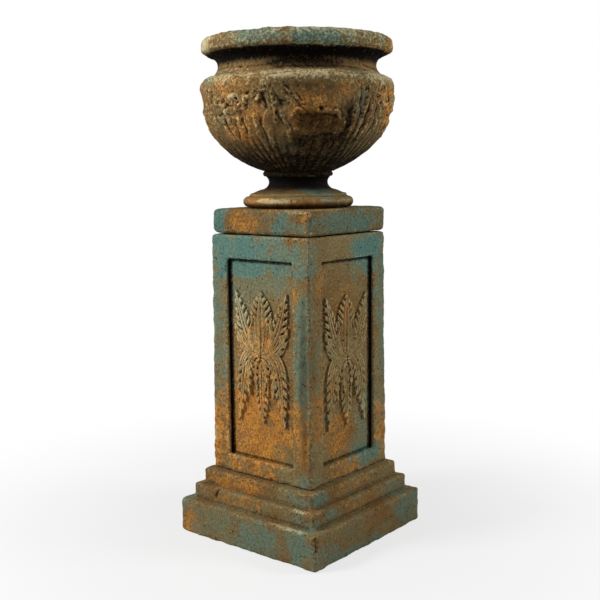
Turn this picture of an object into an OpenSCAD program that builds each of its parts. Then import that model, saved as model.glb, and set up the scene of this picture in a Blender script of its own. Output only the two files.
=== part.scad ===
// Garden urn on a square panelled pedestal: castings, mortar beds, dowels, pads and drain.
// Millimetres, +Z up, origin at the middle of the underside.

/* [Pedestal base] */
// How far the bottom step stands out past the middle step
base_out = 24; // [10:0.5:40]
// Height of the bottom step
base_h = 86; // [70:1:110]
// How far the middle step stands out past the top step
step_out = 18.5; // [10:0.5:30]
// Height of the middle step
step_h = 38; // [30:1:50]
// How far the top step stands out past the shaft's foot
cap_out = 17; // [10:0.5:30]
// Height of the top step
cap_h = 37; // [30:1:50]
// How much wider the base's hollow is than the shaft's, on each side
base_hollow_out = 13; // [0:1:20]
// Thickness of the base's top deck over that hollow
base_deck_t = 40; // [36:1:60]
// Radius of the drain hole in the base's deck
base_drain_r = 30; // [20:1:50]
// How far the blocks' sharp edges are eased back
ease = 8; // [3:0.5:12]

/* [Pedestal shaft] */
// Width of the shaft at its top
die_top_w = 300; // [285:1:320]
// How far the shaft widens on each side down to its foot
die_taper = 4; // [0:0.5:8]
// Height of the shaft
die_h = 581; // [480:1:700]
// Wall of the shaft at its top
die_wall = 38; // [35:1:50]
// Thickness of the deck that closes the shaft's top
die_deck_t = 45; // [38:1:60]
// Radius of the hole in that deck, around the drain sleeve
deck_drain_r = 26; // [20:1:40]
// Width of the stile on each side of a panel
stile_w = 49; // [40:1:56]
// Height of the rail above the panel
rail_top_h = 57; // [40:1:70]
// Height of the rail below the panel
rail_bottom_h = 41; // [30:1:60]
// Depth of the panel at the shaft's top edge
panel_d = 12; // [9:0.5:16]

/* [Leaf sprays] */
// Space between a spray and the panel's sides
spray_margin = 11; // [6:1:20]
// Height of a spray
spray_h = 330; // [260:1:350]
// Height of the front spray's waist above the shaft's foot
spray_waist_h = 300; // [270:1:320]
// How much lower the sprays on the two side faces sit
side_spray_drop = 11; // [0:1:20]
// Relief of the middle leaves
leaf_relief = 8; // [4:0.5:8.5]
// How much flatter each pair of side leaves lies
leaf_step = 1; // [0:0.1:1.5]

/* [Beds, pads and dowels] */
// Thickness of the mortar bed under the shaft
die_bed_t = 2; // [1:0.5:6]
// How far mortar beds stay back from the edge
bed_inset = 6; // [2:1:15]
// Thickness of the setting pads, which is the open joint under the slab
pad_t = 2.4; // [1.5:0.1:6]
// Width of a setting pad
pad_w = 44; // [30:1:56]
// Distance of the locating dowels from the slab's sides
dowel_in = 48; // [38:1:60]
// Radius of a dowel
dowel_r = 6; // [4:0.5:8]
// How deep a dowel is set in the lower block
dowel_set = 28; // [18:1:30]
// How far a dowel stands up out of the lower block
dowel_proud = 30; // [15:1:40]
// Clearance around a dowel that is set in mortar
dowel_fit = 0.3; // [0.1:0.1:1]
// Clearance around a dowel where the urn lifts off it
lift_fit = 2; // [1:0.5:4]
// Clearance over the end of a dowel
end_fit = 3; // [1:0.5:6]

/* [Urn slab and foot] */
// How far the slab stands back from the shaft's top edge
slab_in = 2; // [0:0.5:10]
// Thickness of the square slab
slab_h = 59.2; // [50:0.2:80]
// Thickness of the mortar bed under the foot
foot_bed_t = 2; // [1:0.5:6]
// Radius of the foot over its torus
foot_r = 133.5; // [120:0.5:138]
// Radius of the torus moulding's round
torus_r = 12.5; // [9:0.5:14]
// Height of the foot
foot_h = 74.4; // [72:0.2:90]
// Radius of the foot's waist
waist_r = 71; // [60:1:76]
// Width of the hollow moulding at the waist
scotia_w = 24; // [18:1:28]
// Half the height of that hollow moulding
scotia_h = 19; // [15:1:20]
// Height of the waist above the foot's underside
waist_h = 59.4; // [56:0.2:60]
// Thickness of the mortar collar under the bowl
collar_h = 10; // [4:1:16]
// Radius of the mortar collar
collar_r = 84; // [80.5:0.5:90]

/* [Urn bowl] */
// Radius of the bowl's body, without its swags
bowl_r = 222; // [216:1:230]
// How far the swags stand out of the body
swag_relief = 10; // [6:1:14]
// Height of the body's widest line above its seat
belly_h = 162; // [150:1:176]
// Radius of the bowl's seat
seat_r = 80; // [70:1:80]
// Height above the seat at which the swags reach their full relief
swag_z = 174; // [168:1:182]
// Height of the swags' lower rounding
swag_h = 62; // [50:1:68]
// Height of the swag band's straight stretch
band_h = 20; // [12:1:30]
// Width of the shoulder's rounding
shoulder_w = 26; // [20:1:30]
// Height of the shoulder's rounding
shoulder_h = 27; // [20:1:34]
// Radius of the neck at its narrowest
neck_r = 188; // [184:1:194]
// Radius of the hollow moulding at the neck
cove_r = 25; // [20:1:28]
// How far the lip stands out past the neck's hollow moulding
lip_overhang = 14; // [8:1:24]
// Height of the lip
lip_h = 40; // [32:1:50]
// Rounding of the lip's upper edge
lip_round = 14; // [8:1:16]
// Thickness of the lip, from the mouth to its outer edge
lip_wall = 37; // [32:1:45]
// Wall of the bowl
bowl_wall = 24; // [18:1:30]
// Thickness of the bowl's floor
floor_t = 30; // [22:1:40]

/* [Drain sleeve] */
// Inner radius of the drain sleeve
sleeve_bore_r = 12.5; // [8:0.5:15]
// Wall of the drain sleeve
sleeve_wall = 3.5; // [2:0.5:4]
// Radius of the sleeve's flange
flange_r = 30; // [24:1:40]
// Thickness of the flange
flange_t = 3; // [2:0.5:6]
// How far the sleeve hangs below the slab
sleeve_drip = 16; // [8:1:30]
// Clearance around the sleeve
sleeve_fit = 0.3; // [0.1:0.1:1]

/* [Hidden] */
$fn = 96;
FRONT = 0;
RIGHT = 90;
BACK = 180;
LEFT = 270;
cut = 1;             // how far a cutter runs past the face that it opens
arc_steps = 8;       // straight stretches in a moulding's arc
body_steps = 14;     // straight stretches in the bowl's long curve
leaf_steps = 12;     // stations along a leaf
notch_ratio = 0.78;  // width of a leaf at a notch, against its width at a lobe
swag_start = 75;     // degrees below level at which the swags leave the body
body_end = 73;       // degrees at which the body's own curve stops
cove_turn = 75;      // degrees that the neck's hollow turns each way

// Heights, from the ground up
base_top_z = base_h + step_h + cap_h;
die_z = base_top_z + die_bed_t;
die_top_z = die_z + die_h;
slab_z = die_top_z + pad_t;
slab_top_z = slab_z + slab_h;
foot_z = slab_top_z + foot_bed_t;
collar_z = foot_z + foot_h;
bowl_z = collar_z + collar_h;
floor_z = bowl_z + floor_t;
sleeve_z = slab_z - sleeve_drip;

// Widths and radii that follow others
die_bottom_w = die_top_w + 2 * die_taper;
die_hollow_w = die_top_w - 2 * die_wall;
cap_w = die_bottom_w + 2 * cap_out;
step_w = cap_w + 2 * step_out;
base_w = step_w + 2 * base_out;
base_hollow_w = die_hollow_w + 2 * base_hollow_out;
panel_w = die_top_w - 2 * stile_w;
spray_w = panel_w - 2 * spray_margin;
slab_w = die_top_w - 2 * slab_in;
dowel_pitch = slab_w - 2 * dowel_in;
sleeve_r = sleeve_bore_r + sleeve_wall;
sleeve_hole_r = sleeve_r + sleeve_fit;
base_dowel_pitch = (die_hollow_w + die_top_w) / 2;
panel_floor = die_top_w / 2 - panel_d;
panel_z = die_z + rail_bottom_h;
panel_h = die_h - rail_bottom_h - rail_top_h;
band_r = bowl_r + swag_relief;
neck_z = swag_z + band_h + shoulder_h + cove_r;
lip_z = neck_z + cove_r;
lip_r = neck_r + cove_r + lip_overhang;
mouth_r = lip_r - lip_wall;
inner_r = bowl_r - bowl_wall;
neck_in_r = neck_r - bowl_wall;
body_ry = belly_h / sqrt(1 - pow(seat_r / bowl_r, 2));
inner_ry = body_ry - bowl_wall;
seat_a = asin(seat_r / bowl_r);
floor_a = acos((belly_h - floor_t) / inner_ry);

// A leaf: its foot, its bend, its tip and its half width, as shares of the spray's half width and height.
// Each one with its foot off the middle line is drawn on both sides.
LEAF_RATIOS = [
    [[0.00, 0.00], [0.00, 0.50], [0.00, 0.95], 0.32],
    [[0.14, 0.02], [0.42, 0.42], [0.92, 0.94], 0.24],
    [[0.18, 0.00], [0.75, 0.02], [0.96, 0.40], 0.13],
    [[0.00, 0.00], [0.00, -0.55], [0.00, -0.98], 0.28],
    [[0.12, -0.02], [0.62, -0.12], [0.36, -0.62], 0.15],
    [[0.18, 0.00], [0.82, -0.12], [0.88, -0.98], 0.22],
];

// Points on an arc of an ellipse, from angle a0 to angle a1
function arc(centre, rx, ry, a0, a1, steps) =
    [for (i = [0:steps]) let (a = a0 + (a1 - a0) * i / steps) centre + [rx * cos(a), ry * sin(a)]];

// Place and direction at share t along a leaf's midrib
function rib_point(leaf, t) = (1 - t) * (1 - t) * leaf[0] + 2 * t * (1 - t) * leaf[1] + t * t * leaf[2];
function rib_way(leaf, t) = (1 - t) * (leaf[1] - leaf[0]) + t * (leaf[2] - leaf[1]);

// Half width of a leaf at station i: narrow at the foot, nothing at the tip, notched between its lobes
function leaf_half(leaf, i) = let (t = i / leaf_steps)
    leaf[3] * (0.3 + 0.7 * sin(180 * t)) * (1 - pow(t, 4)) * (i % 2 == 0 ? notch_ratio : 1);

// One side of a leaf's outline, in mm
function leaf_side(leaf, side) = [for (i = [0:leaf_steps - 1])
    let (t = i / leaf_steps, p = in_mm(rib_point(leaf, t)), w = in_mm(rib_way(leaf, t)))
    p + side * leaf_half(leaf, i) * spray_w / 2 * [-w[1], w[0]] / norm(w)];
function in_mm(p) = [p[0] * spray_w / 2, p[1] * spray_h / 2];
function backwards(list) = [for (i = [len(list) - 1:-1:0]) list[i]];

module leaf(shape) {
    polygon(concat(leaf_side(shape, 1), [in_mm(shape[2])], backwards(leaf_side(shape, -1))));
}

// A spray lies flat on the panel of the face that points to the angle "face"
module leaf_spray(face, waist_h) {
    rotate([0, 0, face]) translate([0, -panel_floor, die_z + waist_h]) rotate([90, 0, 0])
        for (i = [0:len(LEAF_RATIOS) - 1]) {
            linear_extrude(leaf_relief - (i % 3) * leaf_step) {
                leaf(LEAF_RATIOS[i]);
                if (LEAF_RATIOS[i][0][0] > 0) mirror([1, 0, 0]) leaf(LEAF_RATIOS[i]);
            }
        }
}

// A square with its corners cut back
module corner_cut_square(w, c) {
    h = w / 2;
    polygon([
        [-h, -h + c], [-h + c, -h], [h - c, -h], [h, -h + c],
        [h, h - c], [h - c, h], [-h + c, h], [-h, h - c],
    ]);
}

// A square block with eased upright and top edges, and eased lower edges where "low" is more than 0
module eased_block(w, h, low) {
    s = w / 2;
    side = [
        [-s, low], [-s + low, 0], [s - low, 0], [s, low],
        [s, h - ease], [s - ease, h], [-s + ease, h], [-s, h - ease],
    ];
    intersection() {
        linear_extrude(h) corner_cut_square(w, ease);
        rotate([90, 0, 0]) linear_extrude(w + 2 * cut, center = true) polygon(side);
        rotate([90, 0, 90]) linear_extrude(w + 2 * cut, center = true) polygon(side);
    }
}

// A square block with flat, tapered sides
module tapered_block(bottom_w, top_w, h) {
    b = bottom_w / 2;
    t = top_w / 2;
    side = [[-b, 0], [b, 0], [t, h], [-t, h]];
    intersection() {
        rotate([90, 0, 0]) linear_extrude(bottom_w + 2 * cut, center = true) polygon(side);
        rotate([90, 0, 90]) linear_extrude(bottom_w + 2 * cut, center = true) polygon(side);
    }
}

// Its children at the four corners of a square
module at_corners(pitch) {
    for (x = [-1, 1], y = [-1, 1]) translate([x * pitch / 2, y * pitch / 2, 0]) children();
}

module square_bar(w, h) {
    translate([-w / 2, -w / 2, 0]) cube([w, w, h]);
}

module pedestal_base() {
    color("darkolivegreen") difference() {
        union() {
            eased_block(base_w, base_h, 0);
            translate([0, 0, base_h]) eased_block(step_w, step_h, 0);
            translate([0, 0, base_h + step_h]) eased_block(cap_w, cap_h, 0);
        }
        translate([0, 0, -cut]) square_bar(base_hollow_w, base_top_z - base_deck_t + cut);
        cylinder(r = base_drain_r, h = base_top_z + cut);
        at_corners(base_dowel_pitch) translate([0, 0, base_top_z - dowel_set])
            cylinder(r = dowel_r + dowel_fit, h = dowel_set + cut);
    }
}

module base_dowels() {
    color("silver") at_corners(base_dowel_pitch) translate([0, 0, base_top_z - dowel_set])
        cylinder(r = dowel_r, h = dowel_set + dowel_proud);
}

module die_mortar_bed() {
    color("darkgray") translate([0, 0, base_top_z]) difference() {
        square_bar(die_bottom_w - 2 * bed_inset, die_bed_t);
        translate([0, 0, -cut]) square_bar(die_hollow_w, die_bed_t + 2 * cut);
        at_corners(base_dowel_pitch) translate([0, 0, -cut])
            cylinder(r = dowel_r + dowel_fit, h = die_bed_t + 2 * cut);
    }
}

module pedestal_die() {
    color("peru") difference() {
        translate([0, 0, die_z]) tapered_block(die_bottom_w, die_top_w, die_h);
        translate([0, 0, die_z - cut]) square_bar(die_hollow_w, die_h - die_deck_t + cut);
        translate([0, 0, die_z]) cylinder(r = deck_drain_r, h = die_h + cut);
        for (face = [FRONT, RIGHT, BACK, LEFT]) rotate([0, 0, face])
            translate([-panel_w / 2, -die_bottom_w / 2, panel_z])
                cube([panel_w, die_bottom_w / 2 - panel_floor, panel_h]);
        at_corners(base_dowel_pitch) translate([0, 0, die_z - cut])
            cylinder(r = dowel_r + dowel_fit, h = dowel_proud - die_bed_t + end_fit + cut);
        at_corners(dowel_pitch) translate([0, 0, die_top_z - dowel_set])
            cylinder(r = dowel_r + dowel_fit, h = dowel_set + cut);
    }
}

module leaf_spray_front() { color("sandybrown") leaf_spray(FRONT, spray_waist_h); }
module leaf_spray_right() { color("sandybrown") leaf_spray(RIGHT, spray_waist_h - side_spray_drop); }
module leaf_spray_back() { color("sandybrown") leaf_spray(BACK, spray_waist_h); }
module leaf_spray_left() { color("sandybrown") leaf_spray(LEFT, spray_waist_h - side_spray_drop); }

module locating_dowels() {
    color("silver") at_corners(dowel_pitch) translate([0, 0, die_top_z - dowel_set])
        cylinder(r = dowel_r, h = dowel_set + dowel_proud);
}

module setting_pads() {
    color("dimgray") at_corners(dowel_pitch) translate([0, 0, die_top_z]) difference() {
        square_bar(pad_w, pad_t);
        translate([0, 0, -cut]) cylinder(r = dowel_r + dowel_fit, h = pad_t + 2 * cut);
    }
}

module urn_slab() {
    color("cadetblue") translate([0, 0, slab_z]) difference() {
        eased_block(slab_w, slab_h, ease);
        translate([0, 0, -cut]) cylinder(r = sleeve_hole_r, h = slab_h + 2 * cut);
        at_corners(dowel_pitch) translate([0, 0, -cut])
            cylinder(r = dowel_r + lift_fit, h = dowel_proud - pad_t + end_fit + cut);
    }
}

module foot_mortar_bed() {
    color("darkgray") translate([0, 0, slab_top_z]) rotate_extrude()
        translate([sleeve_hole_r, 0]) square([foot_r - torus_r - bed_inset - sleeve_hole_r, foot_bed_t]);
}

// Torus, slope and waist, up to the face that the mortar collar lies on
module urn_foot() {
    torus_x = foot_r - torus_r;
    scotia_x = waist_r + scotia_w;
    scotia_top = asin((foot_h - waist_h) / scotia_h);
    color("sienna") translate([0, 0, foot_z]) rotate_extrude() polygon(concat(
        [[sleeve_hole_r, 0]],
        arc([torus_x, torus_r], torus_r, torus_r, -90, 60, arc_steps),
        arc([scotia_x, waist_h], scotia_w, scotia_h, 270, 180 - scotia_top, arc_steps),
        [[sleeve_hole_r, foot_h]]
    ));
}

module bowl_mortar_collar() {
    bead = collar_h / 2;
    color("darkgray") translate([0, 0, collar_z]) rotate_extrude() polygon(concat(
        [[sleeve_hole_r, 0]],
        arc([collar_r - bead, bead], bead, bead, -90, 90, arc_steps),
        [[sleeve_hole_r, collar_h]]
    ));
}

module urn_bowl() {
    outside = concat(
        arc([0, belly_h], bowl_r, body_ry, seat_a - 90, body_end - 90, body_steps),
        arc([band_r - shoulder_w, swag_z], shoulder_w, swag_h, -swag_start, 0, arc_steps),
        arc([band_r - shoulder_w, swag_z + band_h], shoulder_w, shoulder_h, 0, 90, arc_steps),
        arc([neck_r + cove_r, neck_z], cove_r, cove_r, 180 + cove_turn, 180 - cove_turn, arc_steps),
        [[lip_r - lip_round / 2, lip_z], [lip_r, lip_z + lip_round / 3]],
        arc([lip_r - lip_round, lip_z + lip_h - lip_round], lip_round, lip_round, 0, 90, arc_steps)
    );
    inside = concat(
        arc([mouth_r + lip_round, lip_z + lip_h - lip_round], lip_round, lip_round, 90, 180, arc_steps),
        [[neck_in_r, neck_z]],
        arc([neck_in_r, swag_z + band_h], inner_r - neck_in_r, shoulder_h, 90, 0, arc_steps),
        arc([0, belly_h], inner_r, inner_ry, 0, floor_a - 90, body_steps)
    );
    drain = [
        [flange_r + sleeve_fit, floor_t], [flange_r + sleeve_fit, floor_t - flange_t],
        [sleeve_hole_r, floor_t - flange_t], [sleeve_hole_r, 0],
    ];
    color("saddlebrown") translate([0, 0, bowl_z]) rotate_extrude() polygon(concat(outside, inside, drain));
}

// Its flange lies in the bowl's floor and its end hangs clear below the slab
module drain_sleeve() {
    top = floor_z - sleeve_z;
    color("slategray") translate([0, 0, sleeve_z]) rotate_extrude() polygon([
        [sleeve_bore_r, 0], [sleeve_r, 0], [sleeve_r, top - flange_t],
        [flange_r, top - flange_t], [flange_r, top], [sleeve_bore_r, top],
    ]);
}

pedestal_base();
base_dowels();
die_mortar_bed();
pedestal_die();
leaf_spray_front();
leaf_spray_right();
leaf_spray_back();
leaf_spray_left();
locating_dowels();
setting_pads();
urn_slab();
foot_mortar_bed();
urn_foot();
bowl_mortar_collar();
urn_bowl();
drain_sleeve();
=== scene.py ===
# %% [markdown]
# # A weathered garden urn on its pedestal
# The real thing is a set of rough castings: a stepped base, a hollow shaft with sunk panels and leaf
# sprays, a square slab, a round foot and a bowl with swags. They were cast in a gritty stone mix, stained
# rust and verdigris, and rubbed back, so that hollows stayed dark and edges turned pale.
# The lesson builds each casting the way a sculptor would: a simple form, lumps laid on it, one skin drawn
# over all of it, and then wear. The frame from CAD says where every casting goes.

# %% Load the frame
import math
import random

import bpy
import numpy as np
from mathutils import Matrix, Vector, noise
from mathutils.bvhtree import BVHTree


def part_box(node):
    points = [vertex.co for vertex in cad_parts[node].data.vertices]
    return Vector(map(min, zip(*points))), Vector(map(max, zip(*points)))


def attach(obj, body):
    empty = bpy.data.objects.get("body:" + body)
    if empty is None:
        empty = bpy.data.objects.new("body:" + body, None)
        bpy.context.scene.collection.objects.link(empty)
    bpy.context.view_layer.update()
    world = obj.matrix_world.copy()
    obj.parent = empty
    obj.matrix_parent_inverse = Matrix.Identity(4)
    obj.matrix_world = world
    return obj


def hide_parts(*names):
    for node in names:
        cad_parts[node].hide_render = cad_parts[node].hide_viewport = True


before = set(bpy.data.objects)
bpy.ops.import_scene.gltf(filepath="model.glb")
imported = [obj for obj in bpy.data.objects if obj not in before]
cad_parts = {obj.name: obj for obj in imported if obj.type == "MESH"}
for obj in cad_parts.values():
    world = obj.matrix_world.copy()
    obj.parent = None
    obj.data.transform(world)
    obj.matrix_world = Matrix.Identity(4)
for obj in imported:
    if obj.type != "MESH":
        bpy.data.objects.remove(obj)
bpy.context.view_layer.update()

MM = 0.001
print("castings in the frame:", ", ".join(sorted(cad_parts)))

# %% [markdown]
# ## Image points
# These are places in the photograph, in pixels of its 600 x 600 frame. The camera's numbers were
# settled on the square corners. The knots, blowholes and nicks are put on the castings by sending a ray
# through their points.

# %% Points in the photograph
POINTS = {
    "object_left": (181.4, None),
    "object_right": (419.6, None),
    "object_top": (None, 26.5),
    "object_bottom": (None, 573.8),
    "shaft_top_left": (211.2, 234.2),
    "shaft_top_near": (308.2, 238.5),
    "shaft_top_right": (384.1, 231.0),
    "shaft_foot_left": (214.1, 467.0),
    "shaft_foot_near": (310.2, 492.4),
    "shaft_foot_right": (385.7, 458.7),
    "rim_left": (201.2, None),
    "rim_right": (393.6, None),
    "neck_left": (217.7, None),
    "neck_right": (376.1, None),
    "knot_left": (270.0, 92.0),
    "knot_right": (361.0, 96.0),
    "blowhole_left": (222.0, 101.0),
    "blowhole_middle": (321.0, 108.0),
    "nick_step": (217.0, 493.0),
    "nick_corner": (315.5, 545.0),
}
FRAME_PX = 600
print(len(POINTS), "image points")

# %% [markdown]
# ## Camera
# The photographer stood a little above the middle of the pedestal and looked 8 degrees down, 39
# degrees round from the front face. The camera is aimed and rolled, with no lens shift.

# %% Set up the camera
VIEW_TURN = math.radians(39.28)
VIEW_DOWN = math.radians(7.96)
VIEW_ROLL = math.radians(-0.57)
VIEW_DISTANCE = 2.3299
VIEW_SIDE = 0.0016
VIEW_HEIGHT = 0.9033
LENS_MM = 57.24
SENSOR_MM = 36.0


def from_view(across, towards, height):
    """A place given as the camera sees it: to its right, towards it, and up."""
    right = Vector((math.cos(VIEW_TURN), math.sin(VIEW_TURN), 0))
    near = Vector((math.sin(VIEW_TURN), -math.cos(VIEW_TURN), 0))
    return right * across + near * towards + Vector((0, 0, height))


def add_camera():
    """A camera at the photograph's viewing angle."""
    right = from_view(1, 0, 0)
    forward = from_view(0, -math.cos(VIEW_DOWN), -math.sin(VIEW_DOWN))
    up = right.cross(forward)
    rolled_right = right * math.cos(VIEW_ROLL) + up * math.sin(VIEW_ROLL)
    rolled_up = rolled_right.cross(forward)
    camera = bpy.data.objects.new("camera", bpy.data.cameras.new("camera"))
    camera.data.sensor_fit = "AUTO"
    camera.data.sensor_width = SENSOR_MM
    camera.data.lens = LENS_MM
    turn = Matrix((rolled_right, rolled_up, -forward)).transposed()
    place = from_view(VIEW_SIDE, VIEW_DISTANCE, VIEW_HEIGHT)
    camera.matrix_world = Matrix.Translation(place) @ turn.to_4x4()
    bpy.context.scene.collection.objects.link(camera)
    bpy.context.scene.camera = camera
    return camera


camera = add_camera()
bpy.context.view_layer.update()
print("camera at", [round(v, 3) for v in camera.location])

# %% [markdown]
# ## Shader arithmetic
# A finish is easier to read as a sum than as a drawing of nodes. The class below wraps a socket, so that
# `1 - mask * 0.5` adds the Math nodes by itself. Colours go through the Mix node, and every other node
# comes from one method.

# %% A socket that Python can calculate with
class Flow:
    """A shader value. Each sign adds a Math node, and node() adds any other one."""

    def __init__(self, tree, socket=None):
        self.tree = tree
        self.socket = socket

    def node(self, kind, links=None, out=0, **settings):
        """Add a node: its settings first, then what feeds its sockets. Gives back one output."""
        new = self.tree.nodes.new("ShaderNode" + kind)
        for name, value in settings.items():
            setattr(new, name, value)
        for key, value in (links or {}).items():
            if isinstance(value, Flow):
                self.tree.links.new(value.socket, new.inputs[key])
            else:
                new.inputs[key].default_value = value
        return Flow(self.tree, new.outputs[out])

    def other(self, out):
        """Another output of the same node."""
        return Flow(self.tree, self.socket.node.outputs[out])

    def math(self, operation, *values):
        """A Math node on up to three values."""
        return self.node("Math", dict(enumerate(values)), operation=operation)

    def __add__(self, other):
        return self.math("ADD", self, other)

    def __sub__(self, other):
        return self.math("SUBTRACT", self, other)

    def __mul__(self, other):
        return self.math("MULTIPLY", self, other)

    def __rsub__(self, other):
        return self.math("SUBTRACT", other, self)

    __radd__ = __add__
    __rmul__ = __mul__

    def most(self, other):
        """The larger of two values."""
        return self.math("MAXIMUM", self, other)

    def step(self, low, high, start=0.0, end=1.0):
        """A soft step from start to end while the value goes from low to high."""
        links = {0: self, 1: low, 2: high, 3: start, 4: end}
        return self.node("MapRange", links, interpolation_type="SMOOTHSTEP")

    def mix(self, below, above):
        """A colour mix, with this value as the share of the colour above."""
        return self.node("Mix", {0: self, 6: below, 7: above}, out=2, data_type="RGBA")


def feed(tree, flow, socket):
    """Link a value to a socket of the material's shader."""
    tree.links.new(flow.socket, tree.nodes["Principled BSDF"].inputs[socket])


def new_finish(name, roughness=0.8, shine=0.2):
    """A material with a Principled shader, and a Flow to start its sums from."""
    material = bpy.data.materials.new(name)
    material.use_nodes = True
    shader = material.node_tree.nodes["Principled BSDF"]
    shader.inputs["Roughness"].default_value = roughness
    shader.inputs["Specular IOR Level"].default_value = shine
    return material, Flow(material.node_tree)


def screen_colour(red, green, blue):
    """A colour as read off a screen, 0 to 255, made linear for the shader."""
    shares = [v / 255 for v in (red, green, blue)]
    return tuple(v / 12.92 if v < 0.04 else ((v + 0.055) / 1.055) ** 2.4 for v in shares) + (1,)


print("shader sums ready")

# %% [markdown]
# ## Floor, backdrop and light
# The photograph is cut out on white, so the floor fades to white and keeps only a soft contact shadow.
# The leaf sprays tell where the light was: on the front face their dark sides point right, and on the
# right-hand face they point left. So two soft lamps stand left and right, high up, and the middle of
# the bowl falls between them.

# %% Stage and lamps
FLOOR_SIZE = 60
# The floor's white glow to the camera: where it starts and is full, in metres from the middle, and its least
GLOW_FROM, GLOW_FULL, GLOW_LEAST = 0.3, 1.3, 0.7
SKY_STRENGTH = 0.26
LAMP_SIZE, LEFT_WATTS, RIGHT_WATTS = 0.9, 90, 46


def add_floor():
    """A pale floor that glows white to the camera, more so further out, and keeps a soft shadow."""
    bpy.ops.object.select_all(action="DESELECT")
    bpy.ops.mesh.primitive_plane_add(size=FLOOR_SIZE)
    floor = bpy.context.active_object
    floor.name = "floor"
    material, flow = new_finish("pale_floor", roughness=0.95, shine=0.0)
    spot = flow.node("TexCoord", out=3)
    away = flow.node("VectorMath", {0: spot}, out=1, operation="LENGTH")
    glow = away.step(GLOW_FROM, GLOW_FULL, GLOW_LEAST, 1.0) * flow.node("LightPath")
    paint = flow.node("TexNoise", {"Vector": spot, "Scale": 2.0})
    feed(flow.tree, paint.mix((0.56, 0.56, 0.56, 1), (0.6, 0.6, 0.6, 1)), "Base Color")
    white = flow.node("Emission", {"Color": (1, 1, 1, 1), "Strength": 1.0})
    shader = Flow(flow.tree, flow.tree.nodes["Principled BSDF"].outputs[0])
    both = flow.node("MixShader", {0: glow, 1: shader, 2: white})
    flow.tree.links.new(both.socket, flow.tree.nodes["Material Output"].inputs["Surface"])
    floor.data.materials.append(material)


def add_sky(strength):
    """An even light from all round, which camera, glossy and transmitted rays see as white."""
    world = bpy.data.worlds.new("studio")
    bpy.context.scene.world = world
    world.use_nodes = True
    path = Flow(world.node_tree).node("LightPath")
    white = path.most(path.other(3)).most(path.other(6))
    background = world.node_tree.nodes["Background"]
    background.inputs["Color"].default_value = (1, 1, 1, 1)
    level = white * (1 - strength) + strength
    world.node_tree.links.new(level.socket, background.inputs["Strength"])


def add_lamp(name, place, size, watts, aim=(0, 0, 0.75)):
    """A square soft lamp that points at the urn."""
    lamp = bpy.data.objects.new(name, bpy.data.lights.new(name, "AREA"))
    lamp.data.size = size
    lamp.data.energy = watts
    lamp.location = place
    lamp.rotation_euler = (Vector(aim) - place).to_track_quat("-Z", "Y").to_euler()
    bpy.context.scene.collection.objects.link(lamp)


add_floor()
add_sky(SKY_STRENGTH)
add_lamp("left_lamp", from_view(-2.3, 0.9, 2.3), LAMP_SIZE, LEFT_WATTS)
add_lamp("right_lamp", from_view(2.4, 0.35, 2.1), LAMP_SIZE, RIGHT_WATTS)
bpy.context.scene.view_settings.view_transform = "Standard"
print("stage and lamps ready")

# %% [markdown]
# ## Modelling helpers
# Every operator in Blender acts on whatever is selected, so each helper first lets go of everything.
# The skin over a casting comes from a voxel remesh: it turns a pile of overlapping lumps into one closed
# surface of even squares, which then takes wear like wet clay.

# %% Selecting, joining, applying
def only(*pieces):
    """Select just these pieces, the first one active."""
    bpy.ops.object.select_all(action="DESELECT")
    for piece in pieces:
        piece.select_set(True)
    bpy.context.view_layer.objects.active = pieces[0]


def settle(piece):
    """Put the object at the origin, with its place in its mesh, as the frame's own nodes are."""
    only(piece)
    bpy.ops.object.transform_apply(location=True, rotation=True, scale=True)
    return piece


def apply_modifier(piece, kind, **settings):
    """Add a modifier, set it and apply it."""
    only(piece)
    modifier = piece.modifiers.new(kind.lower(), kind)
    for name, value in settings.items():
        setattr(modifier, name, value)
    bpy.ops.object.modifier_apply(modifier=modifier.name)


def join(name, pieces):
    """Make one object of several."""
    only(*pieces)
    if len(pieces) > 1:
        bpy.ops.object.join()
    pieces[0].name = name
    return pieces[0]


def mend_normals(piece):
    """Merge doubled points and turn every face outwards."""
    only(piece)
    bpy.ops.object.mode_set(mode="EDIT")
    bpy.ops.mesh.select_all(action="SELECT")
    bpy.ops.mesh.remove_doubles(threshold=1e-5)
    bpy.ops.mesh.normals_make_consistent(inside=False)
    bpy.ops.object.mode_set(mode="OBJECT")


def pick_faces(piece, test):
    """In edit mode, select only the faces whose centre and normal pass a test."""
    bpy.ops.mesh.select_mode(type="FACE")
    bpy.ops.mesh.select_all(action="DESELECT")
    bpy.ops.object.mode_set(mode="OBJECT")
    for face in piece.data.polygons:
        face.select = test(face.center, face.normal)
    bpy.ops.object.mode_set(mode="EDIT")


def skin(piece, voxel_mm, smoothing=2):
    """One closed skin of even squares over everything in the piece, then a light smoothing."""
    apply_modifier(piece, "REMESH", mode="VOXEL", voxel_size=voxel_mm * MM, use_smooth_shade=True)
    apply_modifier(piece, "SMOOTH", factor=0.5, iterations=smoothing)


def add_block(width, low, high):
    """A square block that stands on the middle line."""
    bpy.ops.object.select_all(action="DESELECT")
    bpy.ops.mesh.primitive_cube_add(size=1, location=(0, 0, (low + high) / 2))
    block = bpy.context.active_object
    block.scale = (width, width, high - low)
    return settle(block)


def add_rod(radius, low, high, place=(0, 0)):
    """An upright round rod."""
    bpy.ops.object.select_all(action="DESELECT")
    middle = (place[0], place[1], (low + high) / 2)
    bpy.ops.mesh.primitive_cylinder_add(vertices=48, radius=radius, depth=high - low, location=middle)
    return settle(bpy.context.active_object)


def cut(piece, cutters):
    """Take the cutters' space out of a piece."""
    for cutter in cutters:
        apply_modifier(piece, "BOOLEAN", object=cutter, operation="DIFFERENCE", solver="MANIFOLD")
        bpy.data.objects.remove(cutter)


print("modelling helpers ready")

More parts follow.
